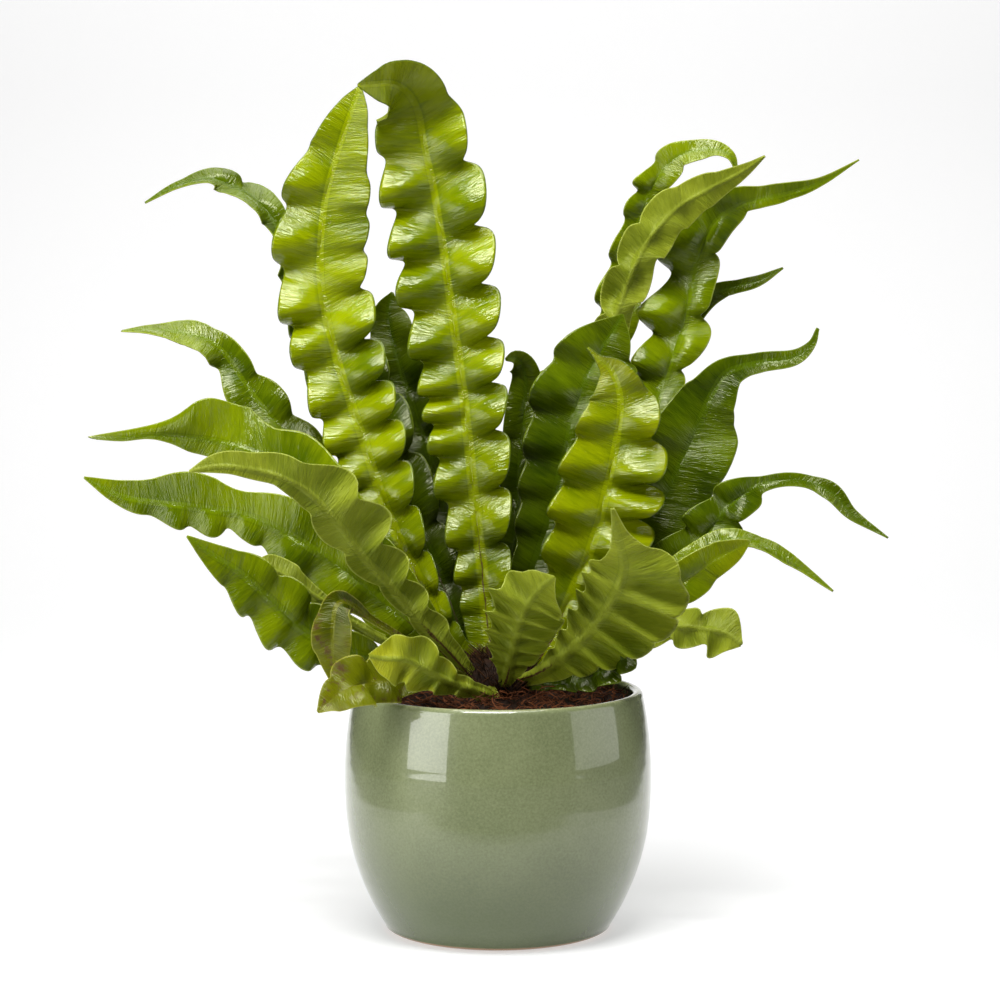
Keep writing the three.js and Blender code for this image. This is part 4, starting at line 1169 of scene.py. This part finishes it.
        (140.7, 18, 232.1, -17.6, 4.53), (158.5, 17, 234.3, -19.2, 3.68), (174.8, 16, 228, -20, 5.13),
        (186.7, 14, 216, -21.6, 3.16), (205, 12, 204.1, -17.6, 0.45),
    ), (
        ((150, 20), (300, 25), (420, 30), (530, 35), (620, 30), (730, 12), (850, 10)),
        ((150, 20), (280, 25), (400, 30), (500, 40), (600, 30), (700, 15), (850, 10)),
    )),
    Frond("right_thin", Look.GREEN, (
        (19, -5, 128, 0, 2.6), (43, -5, 144, -26, 4), (79, -3, 172, -32, 7.5), (105, -2, 196, -36, 9),
        (122, -2, 205, -46, 6), (139, -3, 201, -48, 5), (156, -5, 191, -50, 3.6), (174, -7, 178, -40, 0.6),
    ), Even(6, 0.12)),
    Frond("right_yellow", Look.PALE, (
        (20, -8, 129, 0, 2.6), (44.6, -11, 139.4, 0, 4), (69.3, -14, 159.7, 0, 6),
        (94, -14, 181.5, 0, 10), (109.5, -14, 193.4, 0, 9.5), (121.3, -14, 200.2, 0, 6),
        (130, -14, 204.8, 0, 1),
    ), Even(5, 0.16), yellow=0.15),
    Frond("front_right", Look.PALE, (
        (8, -15, 132, 180, 2.6), (22.6, -28, 139.2, 180, 5), (38.6, -40, 153.2, 180, 13),
        (51.4, -50, 168.7, 178, 20), (59.4, -60, 183.4, 176, 23), (62.7, -65, 195, 172, 20),
        (61.5, -68, 203.8, 170, 9), (59.4, -70, 212.4, 168, 4), (56.2, -74, 226.6, 166, 0.8),
    ), (
        ((200, 15), (300, 24), (400, 26), (500, 26), (600, 24), (700, 15)),
        ((200, 15), (300, 22), (400, 24), (500, 24), (600, 20), (700, 12)),
    ), widths=((1.45, 0.8), (1.45, 0.8)), yellow=0.15),
    Frond("right_low", Look.PALE, (
        (18, -12, 130, 178, 2.6), (37.6, -20, 139.1, 162, 4), (60, -27, 151.5, 158, 6.5),
        (79.7, -31, 161.8, 158, 8.5), (99.8, -36, 162.4, 158, 9.5), (114.9, -38, 160.1, 158, 12),
        (124, -39, 154.1, 170, 1),
    ), (
        ((150, 10), (300, 25), (450, 30), (600, 32), (750, 35), (900, 30)),
        ((150, 10), (270, 20), (400, 28), (550, 30), (700, 32), (850, 30)),
    ), yellow=0.1),
    Frond("right_low_dark", Look.DARK, (
        (16, -17, 130, -10, 2.4), (30, -28, 132, -36, 3), (42, -28, 134, -40, 7), (54, -33, 140, -40, 9),
        (65, -37, 148, -40, 8), (73, -39, 157, -40, 0.8),
    ), Even(6, 0.28)),
    Frond("front_centre", Look.PALE, (
        (2, -20, 130, 180, 2.6), (4.6, -28, 135.6, 180, 5), (7.1, -38, 148.8, 179, 13.5),
        (10.1, -46, 162.6, 177, 17), (14.6, -54, 175.7, 175, 18.5), (20.5, -60, 184.5, 172, 12),
        (24.9, -64, 188.9, 170, 5.5), (28.3, -66, 191.6, 168, 0.7),
    ), (
        ((200, 20), (310, 26), (420, 28), (540, 28), (660, 26), (800, 15)),
        ((200, 20), (300, 25), (400, 26), (500, 26), (620, 25), (760, 16)),
    ), yellow=0.1, worn=0.1),
    Frond("back_tall_left", Look.GREEN, (
        (-6, 20, 132, 0, 2.6), (-12, 54, 172, 0, 8), (-22, 84, 216, 0, 15), (-34, 106, 256, 0, 19),
        (-47, 122, 286, 0, 12), (-60, 132, 300, 0, 0.8),
    ), Even(8, 0.26), facing=Facing.UP),
    Frond("back_tall_right", Look.GREEN, (
        (7, 19, 132, 0, 2.6), (11, 48, 180, 0, 8), (17, 76, 230, 0, 16), (27, 96, 268, 0, 19),
        (37, 110, 288, 0, 12), (48, 118, 296, 0, 0.8),
    ), Even(8, 0.26), facing=Facing.UP),
    Frond("back_left", Look.DARK, (
        (-14, 15, 130, 0, 2.6), (-34, 44, 168, 0, 8), (-58, 76, 205, 0, 15), (-83, 102, 228, 0, 16),
        (-103, 118, 232, 0, 9), (-116, 124, 223, 0, 0.8),
    ), Even(7, 0.26), facing=Facing.UP),
    Frond("back_right", Look.DARK, (
        (11, 20, 129, 0, 2.6), (29, 54, 162, 0, 7), (54, 86, 196, 0, 15), (80, 112, 220, 0, 16),
        (102, 128, 226, 0, 9), (118, 138, 216, 0, 0.8),
    ), Even(7, 0.26), facing=Facing.UP),
    Frond("back_low_left", Look.GREEN, (
        (-19, 9, 128, 0, 2.6), (-44, 40, 150, 0, 7), (-74, 74, 168, 0, 14), (-102, 100, 168, 0, 12),
        (-122, 114, 152, 0, 0.8),
    ), Even(6, 0.26), facing=Facing.UP),
    Frond("back_low_right", Look.GREEN, (
        (20, 9, 128, 0, 2.6), (47, 41, 148, 0, 7), (68, 82, 170, 0, 14), (88, 110, 170, 0, 12),
        (102, 128, 154, 0, 0.8),
    ), Even(6, 0.26), facing=Facing.UP),
    Frond("back_arch_left", Look.BRIGHT, (
        (-10, 19, 129, 0, 2.6), (-24, 58, 160, 0, 8), (-40, 98, 186, 0, 16), (-54, 130, 186, 0, 13),
        (-64, 150, 168, 0, 0.8),
    ), Even(7, 0.26), facing=Facing.UP),
    Frond("back_arch_right", Look.BRIGHT, (
        (6, 23, 128, 0, 2.6), (14, 62, 146, 0, 8), (27, 104, 166, 0, 16), (39, 136, 167, 0, 13),
        (48, 154, 154, 0, 0.8),
    ), Even(7, 0.26), facing=Facing.UP),
    Frond("back_middle", Look.DARK, (
        (1, 22, 131, 0, 2.6), (2, 64, 162, 0, 8), (3, 104, 192, 0, 16), (3, 136, 208, 0, 15),
        (4, 156, 212, 0, 9), (6, 170, 208, 0, 0.8),
    ), Even(8, 0.26), facing=Facing.UP),
    Frond("back_low", Look.DARK, (
        (-3, 22, 128, 0, 2.6), (-8, 60, 146, 0, 7), (-8, 98, 158, 0, 13), (-8, 130, 156, 0, 11),
        (-8, 152, 146, 0, 0.8),
    ), Even(5, 0.26), facing=Facing.UP),
)


@dataclass(frozen=True)
class Foliage:
    """All the fronds."""

    fronds: tuple[Frond, ...] = FRONDS  # the fronds, whose place in the list shifts their waves

    def build(self) -> None:
        """Makes every frond in place of its solid, with the finishes of both faces."""
        finishes = {}
        for look, upper in UPPER_FINISHES.items():
            lower = replace(LOWER_FINISH, name=upper.name.replace("upper", "lower"))
            finishes[look] = [upper.make(), lower.make()]
        for seed, frond in enumerate(self.fronds):
            name, look = frond.name, frond.look
            frond.skin(seed).make(f"{name}_blade", finishes[look], look.value, f"frond_{name}")


# ---- pot


@dataclass(frozen=True)
class Pot:
    """The glazed pot, in millimetres."""

    belly_radius: float = 80.4  # widest outside radius
    belly_height: float = 80.0  # height of the widest place
    foot_tuck: float = 0.285  # share of the belly radius that is lost at the bottom
    foot_power: float = 2.35  # how late the side turns in towards the foot
    foot_radius: float = 52.0  # flat disc that it stands on
    foot_round: float = 3.0  # height of the rounded edge of the foot
    shoulder_drop: float = 5.0  # how far the side turns in below the lip
    shoulder_rise: float = 45.0  # height over which it turns in
    height: float = 126.0  # height of the lip
    mouth_radius: float = 70.0  # radius of the opening
    lip_round: float = 3.0  # height of the rounded lip
    flare: float = 0.12  # how fast the inside widens below the mouth
    wall: float = 5.5  # thickness of the wall
    floor: float = 8.0  # thickness of the floor
    floor_round: float = 6.0  # corner between the wall and the floor inside
    floor_gap: float = 4.0  # from that corner to the first ring of the floor
    throw_ring: float = 0.035  # height of the faint rings that turning on the wheel left
    ring_length: float = 7.5  # from one ring to the next
    sides: int = 160  # columns round the pot

    def outside(self, z: np.ndarray) -> np.ndarray:
        """Outside radius at a height: a power curve below the belly and a parabola above.

        Args:
            z: Height, in millimetres.

        Returns:
            The radius there.
        """
        below = np.clip((self.belly_height - z) / self.belly_height, 0.0, 1.0)
        above = np.clip((z - self.belly_height) / self.shoulder_rise, 0.0, None)
        lower = self.belly_radius * (1.0 - self.foot_tuck * below**self.foot_power)
        rings = self.throw_ring * drift(np.asarray(z) / self.ring_length, 0.3)
        return lower - self.shoulder_drop * above**2 + rings

    def inside(self, z: np.ndarray) -> np.ndarray:
        """Inside radius at a height."""
        mouth = self.mouth_radius + self.flare * (self.height - z)
        return np.minimum(self.outside(z) - self.wall, mouth)

    def corner(self) -> Pair:
        """Radius and height of the middle of the rounded corner inside."""
        height = self.floor + self.floor_round
        return float(self.inside(height)) - self.floor_round, height

    def profile(self) -> np.ndarray:
        """The whole section, from the middle of the foot outside to the middle inside.

        Returns:
            Rows of radius and height, in millimetres.
        """
        shoulder, (corner, corner_height) = self.height - self.lip_round, self.corner()
        foot_reach = float(self.outside(self.foot_round)) - self.foot_radius
        lip_reach = (float(self.outside(shoulder)) - self.mouth_radius) / 2.0
        lip_middle = (self.mouth_radius + lip_reach, shoulder)
        side, wall = np.linspace(self.foot_round, shoulder, 72), np.linspace(shoulder, corner_height, 24)
        foot_middle, foot_radii = (self.foot_radius, self.foot_round), (foot_reach, self.foot_round)
        return np.vstack([
            level_line(NEAR_AXIS, self.foot_radius, 0.0, count=12),
            ellipse_arc(foot_middle, foot_radii, (-80.0, -12.0), count=6),
            np.stack([self.outside(side), side], axis=1),
            ellipse_arc(lip_middle, (lip_reach, self.lip_round), (12.0, 168.0), count=12),
            np.stack([self.inside(wall), wall], axis=1),
            ellipse_arc(self.corner(), (self.floor_round, self.floor_round), (-12.0, -90.0), count=6),
            level_line(corner - self.floor_gap, NEAR_AXIS, self.floor, count=10),
        ])

    def build(self) -> None:
        """Makes the pot in place of its solid."""
        skin = turned_skin(self.profile() * MM, self.sides)
        skin.make("glazed_pot", [GlazeFinish().make()], "glaze", "pot")


# ---- growing medium and crown


@dataclass
class Fibres:
    """Many curly fibres at once, in millimetres. Every field has one row for each fibre."""

    start: np.ndarray  # where a fibre starts
    length: np.ndarray  # its length
    thickness: np.ndarray  # its radius
    curl: np.ndarray  # how fast it turns sideways, how that changes, and how fast it climbs
    heading: np.ndarray  # the direction that it starts in, in radians about +Z
    climb: np.ndarray  # how steeply it starts
    tint: np.ndarray  # its place between the dark and the light colour

    # Points along and round a fibre, its curl in radians, and how it tapers.
    steps = 11
    around = 4
    bends = (3.2, 2.4, 1.3)
    taper_ends = (0.08, 0.92)

    def lines(self) -> np.ndarray:
        """Middle lines: a heading that turns ever faster, summed step by step.

        Returns:
            Points, one row of steps for each fibre.
        """
        u = np.linspace(0.0, 1.0, self.steps)[None, :]
        bend, faster, up = (size * self.curl[:, k:k + 1] for k, size in enumerate(self.bends))
        turn = self.heading[:, None] + bend * u + faster * u**2
        climb = self.climb[:, None] + up * (u - 0.5)
        step = np.stack([np.cos(turn), np.sin(turn), np.sin(climb)], axis=-1)
        step = unit(step) * (self.length / (self.steps - 1))[:, None, None]
        return self.start[:, None, :] + np.cumsum(step, axis=1) - step[:, :1]

    def skin(self) -> Skin:
        """Thin tubes round the middle lines, tapered to both ends.

        Returns:
            One skin that holds all the tubes.
        """
        line = self.lines()
        along = unit(np.gradient(line, axis=1))
        side = unit(np.cross(along, np.array([0.0, 0.0, 1.0])) + 1e-6)
        up = np.cross(side, along)
        angle = np.linspace(0.0, WHOLE_TURN, self.around, endpoint=False)
        taper = np.sin(math.pi * np.linspace(*self.taper_ends, self.steps)) ** 0.5
        radius = self.thickness[:, None] * taper[None, :]
        across = np.cos(angle)[:, None] * side[:, :, None, :]
        ring = across + np.sin(angle)[:, None] * up[:, :, None, :]
        points = line[:, :, None, :] + radius[..., None, None] * ring
        corner = np.arange(self.around)
        last = (self.steps - 1) * self.around
        ends = np.stack([corner[::-1], last + corner])
        single = np.vstack([rings_to_faces(self.steps, self.around), ends])
        each = self.steps * self.around
        faces = (single[None] + each * np.arange(len(line))[:, None, None]).reshape(-1, 4)
        skin = Skin(points.reshape(-1, 3) * MM, faces)
        skin.tint(np.repeat(self.tint, each))
        return skin


@dataclass(frozen=True)
class Medium:
    """Coir growing medium, in millimetres."""

    pot: Pot  # the pot that it fills
    rim_height: float = 120.0  # height where it meets the pot
    crown_height: float = 126.0  # height where it meets the crown
    lump_height: float = 0.9  # height of its lumps
    lump_length: float = 22.0  # from one lump to the next
    crumb: float = 1.5  # height of its crumbs
    coarse: Pair = (5.3, 4.7)  # lengths of the coarse crumbs' ripples to the right and to the back
    fine: Pair = (2.1, 1.9)  # lengths of the fine crumbs' ripples
    fine_share: float = 0.55  # height of those, as a share of the coarse ones
    gap: float = 0.3  # clearance to the pot
    edge: float = 4.0  # width of the smooth edge beside the pot
    rings: int = 73  # rings of points on its top
    sides: int = 200  # columns round it
    fibres: int = 1500  # how many loose fibres lie on it
    fibre_gap: float = 0.8  # clearance of those to the pot
    fibre_radius: float = 68.0  # how far from the middle they start
    fibre_heights: Pair = (117.0, 134.5)  # lowest and highest place of a fibre
    fibre_lengths: Pair = (5.0, 19.0)  # shortest and longest
    fibre_radii: Pair = (0.13, 0.32)  # thinnest and thickest
    fibre_seed: int = 31  # number that picks their places

    def top(self, x: np.ndarray, y: np.ndarray) -> np.ndarray:
        """Height of its top: a low mound with two crossed ripples and a slanted one.

        Args:
            x: Place to the right.
            y: Place to the back.

        Returns:
            The height there.
        """
        turn = WHOLE_TURN / self.lump_length
        share = np.hypot(x, y) / self.pot.mouth_radius
        mound = self.crown_height - (self.crown_height - self.rim_height) * share**2
        crossed = np.sin(turn * x) * np.sin(turn * y)
        slanted = np.sin(2.0 * turn * (y - x / 2.0))
        return mound + self.lump_height * (crossed + slanted / 2.0)

    def crumbs(self, x: np.ndarray, y: np.ndarray) -> np.ndarray:
        """Rough crumbs: products of short crossing ripples.

        Args:
            x: Place to the right.
            y: Place to the back.

        Returns:
            Their height.
        """
        a, b = self.coarse
        coarse = drift(x / a + 0.31 * y / a, 1.0) * drift(y / b - 0.27 * x / b, 2.0)
        a, b = self.fine
        fine = drift(x / a + 0.4 * y / a, 3.0) * drift(y / b - 0.5 * x / b, 4.0)
        return self.crumb * (coarse + self.fine_share * fine)

    def build(self) -> None:
        """Makes the filling and its loose fibres in place of their solid."""
        pot, (corner, corner_height) = self.pot, self.pot.corner()
        inside = float(pot.inside(self.rim_height))
        side = np.linspace(corner_height, self.rim_height, 8)
        profile = np.vstack([
            level_line(NEAR_AXIS, corner, pot.floor + self.gap, count=4),
            np.stack([pot.inside(side) - self.gap, side], axis=1),
            level_line(inside - self.gap, 1.0, self.rim_height, self.rings + 1)[1:],
        ])
        skin = turned_skin(profile * MM, self.sides)
        x, y, z = (skin.points / MM).T
        edge = smooth_step(inside, pot.mouth_radius - self.edge, np.hypot(x, y))
        raised = self.top(x, y) + self.crumbs(x, y) * edge
        on_top = z > self.rim_height - 0.1
        skin.points[:, 2] = np.where(on_top & (edge > 0.0), raised, z) * MM
        skin.tint(0.5 + 0.5 * drift(x / 3.0, 2.0) * drift(y / 3.4, 5.0))
        finish = FibreFinish("coir_bed", (12, 6, 3), (40, 22, 12)).make()
        skin.make("coir_bed", [finish], "coir", "growing_medium")
        self.build_fibres()

    def build_fibres(self) -> None:
        """Strews curly fibres over the top."""
        chance = np.random.default_rng(self.fibre_seed)
        count = self.fibres
        radius = self.fibre_radius * np.sqrt(chance.uniform(0.05, 1.0, count))
        angle = chance.uniform(0.0, WHOLE_TURN, count)
        x, y = radius * np.cos(angle), radius * np.sin(angle)
        z = self.top(x, y) + chance.uniform(-0.8, 1.4, count)
        skin = Fibres(
            start=np.stack([x, y, z], axis=-1),
            length=chance.uniform(*self.fibre_lengths, count),
            thickness=chance.uniform(*self.fibre_radii, count),
            curl=chance.normal(0.0, 1.0, (count, 3)) * np.array([1.0, 1.0, 0.75]),
            heading=chance.uniform(0.0, WHOLE_TURN, count),
            climb=chance.normal(0.1, 0.32, count),
            tint=chance.uniform(0.1, 1.0, count),
        ).skin()
        limit = (self.pot.mouth_radius - self.fibre_gap) * MM
        distance = np.hypot(skin.points[:, 0], skin.points[:, 1])
        skin.points[:, :2] *= np.minimum(1.0, limit / np.maximum(distance, 1e-6))[:, None]
        low, high = self.fibre_heights
        skin.points[:, 2] = np.clip(skin.points[:, 2], low * MM, high * MM)
        finish = FibreFinish("coir_fibre", (30, 14, 7), (118, 68, 38)).make()
        skin.make("coir_fibres", [finish], "coir", "growing_medium")


@dataclass(frozen=True)
class Crown:
    """The scaly brown crown that the fronds grow from, in millimetres."""

    bottom: float = 98.0  # height of its lowest point
    bottom_radius: float = 15.0  # radius there
    neck: float = 112.0  # height at which it has nearly its full radius
    neck_radius: float = 21.0  # radius there
    waist: float = 127.0  # height at which it is widest
    radius: float = 23.0  # widest radius
    top: float = 145.0  # height of its top
    knob: float = 0.9  # height of its knobs
    sides: int = 72  # columns round it
    scales: int = 900  # how many hair-like scales cover it
    scale_lengths: Pair = (4.0, 10.0)  # shortest and longest
    scale_radii: Pair = (0.12, 0.3)  # thinnest and thickest
    scale_seed: int = 7  # number that picks their places

    def build(self) -> None:
        """Makes the crown and its scales in place of their solid."""
        profile = np.vstack([
            level_line(NEAR_AXIS, self.bottom_radius, self.bottom, count=2),
            (self.neck_radius, self.neck),
            ellipse_arc((0.0, self.waist), (self.radius, self.top - self.waist), (0.0, 88.0), count=24),
        ])
        skin = turned_skin(profile * MM, self.sides)
        x, y, z = (skin.points / MM).T
        rough = self.knob * drift(np.arctan2(y, x) * 4.0 + z / 9.0, 1.5) * drift(z / 5.0, 2.5)
        skin.points[:, :2] *= (1.0 + rough / self.radius)[:, None]
        skin.tint(0.4 + 0.4 * drift(z / 3.0, 1.0))
        finish = FibreFinish("crown_bark", (20, 11, 4), (48, 28, 13)).make()
        skin.make("crown_body", [finish], "crown", "crown")
        self.build_scales()

    def build_scales(self) -> None:
        """Covers the crown with upright hair-like scales."""
        chance = np.random.default_rng(self.scale_seed)
        count = self.scales
        angle = chance.uniform(0.0, WHOLE_TURN, count)
        rise = chance.uniform(0.0, 1.35, count)
        radius = self.radius * np.cos(rise)
        height = self.waist + (self.top - self.waist) * np.sin(rise)
        scales = Fibres(
            start=np.stack([radius * np.cos(angle), radius * np.sin(angle), height - 1.0], axis=-1),
            length=chance.uniform(*self.scale_lengths, count),
            thickness=chance.uniform(*self.scale_radii, count),
            curl=chance.normal(0.0, 0.35, (count, 3)),
            heading=angle,
            climb=chance.uniform(0.7, 1.4, count),
            tint=chance.uniform(0.0, 1.0, count),
        )
        finish = FibreFinish("crown_scale", (28, 16, 7), (74, 46, 22)).make()
        scales.skin().make("crown_scales", [finish], "crown", "crown")


# ---- studio


@dataclass(frozen=True)
class Softbox:
    """A rectangular studio light."""

    name: str  # name of the light
    place: Point  # its middle, in metres
    aim: Point  # the point that it looks at
    size: Pair  # width and height, in metres
    power: float  # power in watts

    def build(self) -> None:
        """Puts the light into the scene."""
        light = bpy.data.lights.new(self.name, "AREA")
        light.shape = "RECTANGLE"
        light.size, light.size_y = self.size
        light.energy = self.power
        lamp = add_object(self.name, light)
        lamp.location = self.place
        toward = Vector(self.aim) - Vector(self.place)
        lamp.rotation_euler = toward.to_track_quat("-Z", "Y").to_euler()


@dataclass(frozen=True)
class Studio:
    """Pale floor that curves up behind the plant, soft lights and the camera, in metres."""

    half_width: float = 0.78  # half the width of the floor
    front: float = -1.0  # where the floor starts
    back: float = 1.55  # where it starts to curve up
    curve: float = 0.6  # radius of the curve
    wall: float = 1.05  # height of the wall behind
    pale: Colour = (194, 194, 194)  # colour of the floor round the plant, pale as a painted pool of light
    grey: Colour = (120, 120, 120)  # its colour farther out, painted dim as in shade
    glow: float = 0.5  # how much light of its own the pale floor adds
    pale_front: float = -0.18  # where the pale part of the floor starts
    pale_width: float = 0.31  # half its width beside the plant
    spread: float = 0.19  # how much wider it gets for each metre behind the plant
    fading: float = 0.1  # over what distance it turns grey
    room_light: float = 0.04  # strength of the even light all round
    camera: Point = (0.00104, -1.4, 0.331)  # place of the camera
    pitch: float = 4.33  # how far it looks down, in degrees
    lens: float = 97.1  # its focal length, in millimetres
    sensor: float = 36.0  # width of its sensor, in millimetres

    boxes = (
        Softbox("left_box", (-1.06, -0.80, 0.43), (0.0, 0.0, 0.25), (0.78, 0.86), 11.0),
        Softbox("right_box", (1.34, -0.26, 0.43), (0.0, 0.0, 0.25), (1.1, 0.86), 4.4),
        Softbox("top_box", (-0.1, -0.46, 1.2), (0.0, 0.0, 0.25), (0.6, 0.3), 15.0),
        Softbox("over_box", (0.0, 0.08, 1.25), (0.0, 0.0, 0.25), (0.7, 0.6), 7.0),
        Softbox("wall_box", (0.0, 1.35, 2.0), (0.0, 2.15, 0.5), (3.0, 0.4), 27.0),
    )

    def build(self) -> None:
        """Makes the floor, the lights, the surroundings and the camera."""
        self.build_floor()
        for box in self.boxes:
            box.build()
        self.build_world()
        self.build_camera()

    def paper(self) -> bpy.types.Material:
        """A painted pool of light on the paper: pale and glowing round the plant, grey away from it.

        Returns:
            The finished material.
        """
        g = Graph("floor_paper")
        x, y, _ = g.parts(g.object_place())
        beside = g.minus(g.sum("ABSOLUTE", x), g.times(y, self.spread))
        beside = g.rise(beside, self.pale_width, self.pale_width + self.fading)
        before = g.rise(y, self.pale_front, self.pale_front - self.fading)
        # Share of the grey: where the painted pool of light fades into painted dimness.
        shade = g.sum("MAXIMUM", beside, before)
        return g.close(g.skin({
            "Base Color": g.blend(shade, self.pale, self.grey),
            "Roughness": 0.6,
            "Specular IOR Level": 0.2,
            "Emission Color": paint((255, 255, 255)),
            "Emission Strength": g.times(g.minus(1.0, shade), self.glow),
        }))

    def build_floor(self) -> None:
        """Makes the floor: a flat strip, a quarter circle and a wall."""
        bend = np.radians(np.linspace(0.0, 90.0, 24))
        far = self.back + self.curve
        y = np.concatenate([[self.front], self.back + self.curve * np.sin(bend), [far]])
        z = np.concatenate([[0.0], self.curve * (1.0 - np.cos(bend)), [self.wall]])
        left = np.stack([np.full(len(y), -self.half_width), y, z], axis=-1)
        right = left * np.array([-1.0, 1.0, 1.0])
        row = np.arange(len(y) - 1)
        faces = np.stack([row, row + len(y), row + len(y) + 1, row + 1], axis=-1)
        mesh = bpy.data.meshes.new("floor")
        mesh.from_pydata(np.vstack([left, right]).tolist(), [], faces.tolist())
        mesh.polygons.foreach_set("use_smooth", np.ones(len(faces), dtype=bool))
        mesh.materials.append(self.paper())
        add_object("floor", mesh)

    def build_world(self) -> None:
        """Sets an even dim light all round, as from a pale room."""
        world = bpy.data.worlds.new("room")
        world.use_nodes = True
        ground = world.node_tree.nodes["Background"]
        ground.inputs["Color"].default_value = (1.0, 1.0, 1.0, 1.0)
        ground.inputs["Strength"].default_value = self.room_light
        bpy.context.scene.world = world
        bpy.context.scene.view_settings.view_transform = "Standard"

    def build_camera(self) -> None:
        """Makes the camera at the photograph's place."""
        eye = bpy.data.cameras.new("camera")
        eye.lens, eye.sensor_width = self.lens, self.sensor
        eye.clip_start, eye.clip_end = 0.05, 20.0
        camera = add_object("camera", eye)
        camera.location = self.camera
        camera.rotation_euler = (math.radians(90.0 - self.pitch), 0.0, 0.0)
        bpy.context.scene.camera = camera


# ---- the whole plant


def main() -> None:
    """Builds the studio and the plant, piece by piece."""
    logging.basicConfig(level=logging.INFO, format="%(name)s %(message)s")
    Studio().build()
    pot = Pot()
    pot.build()
    Medium(pot).build()
    Crown().build()
    Foliage().build()


if __name__ == "__main__":
    main()
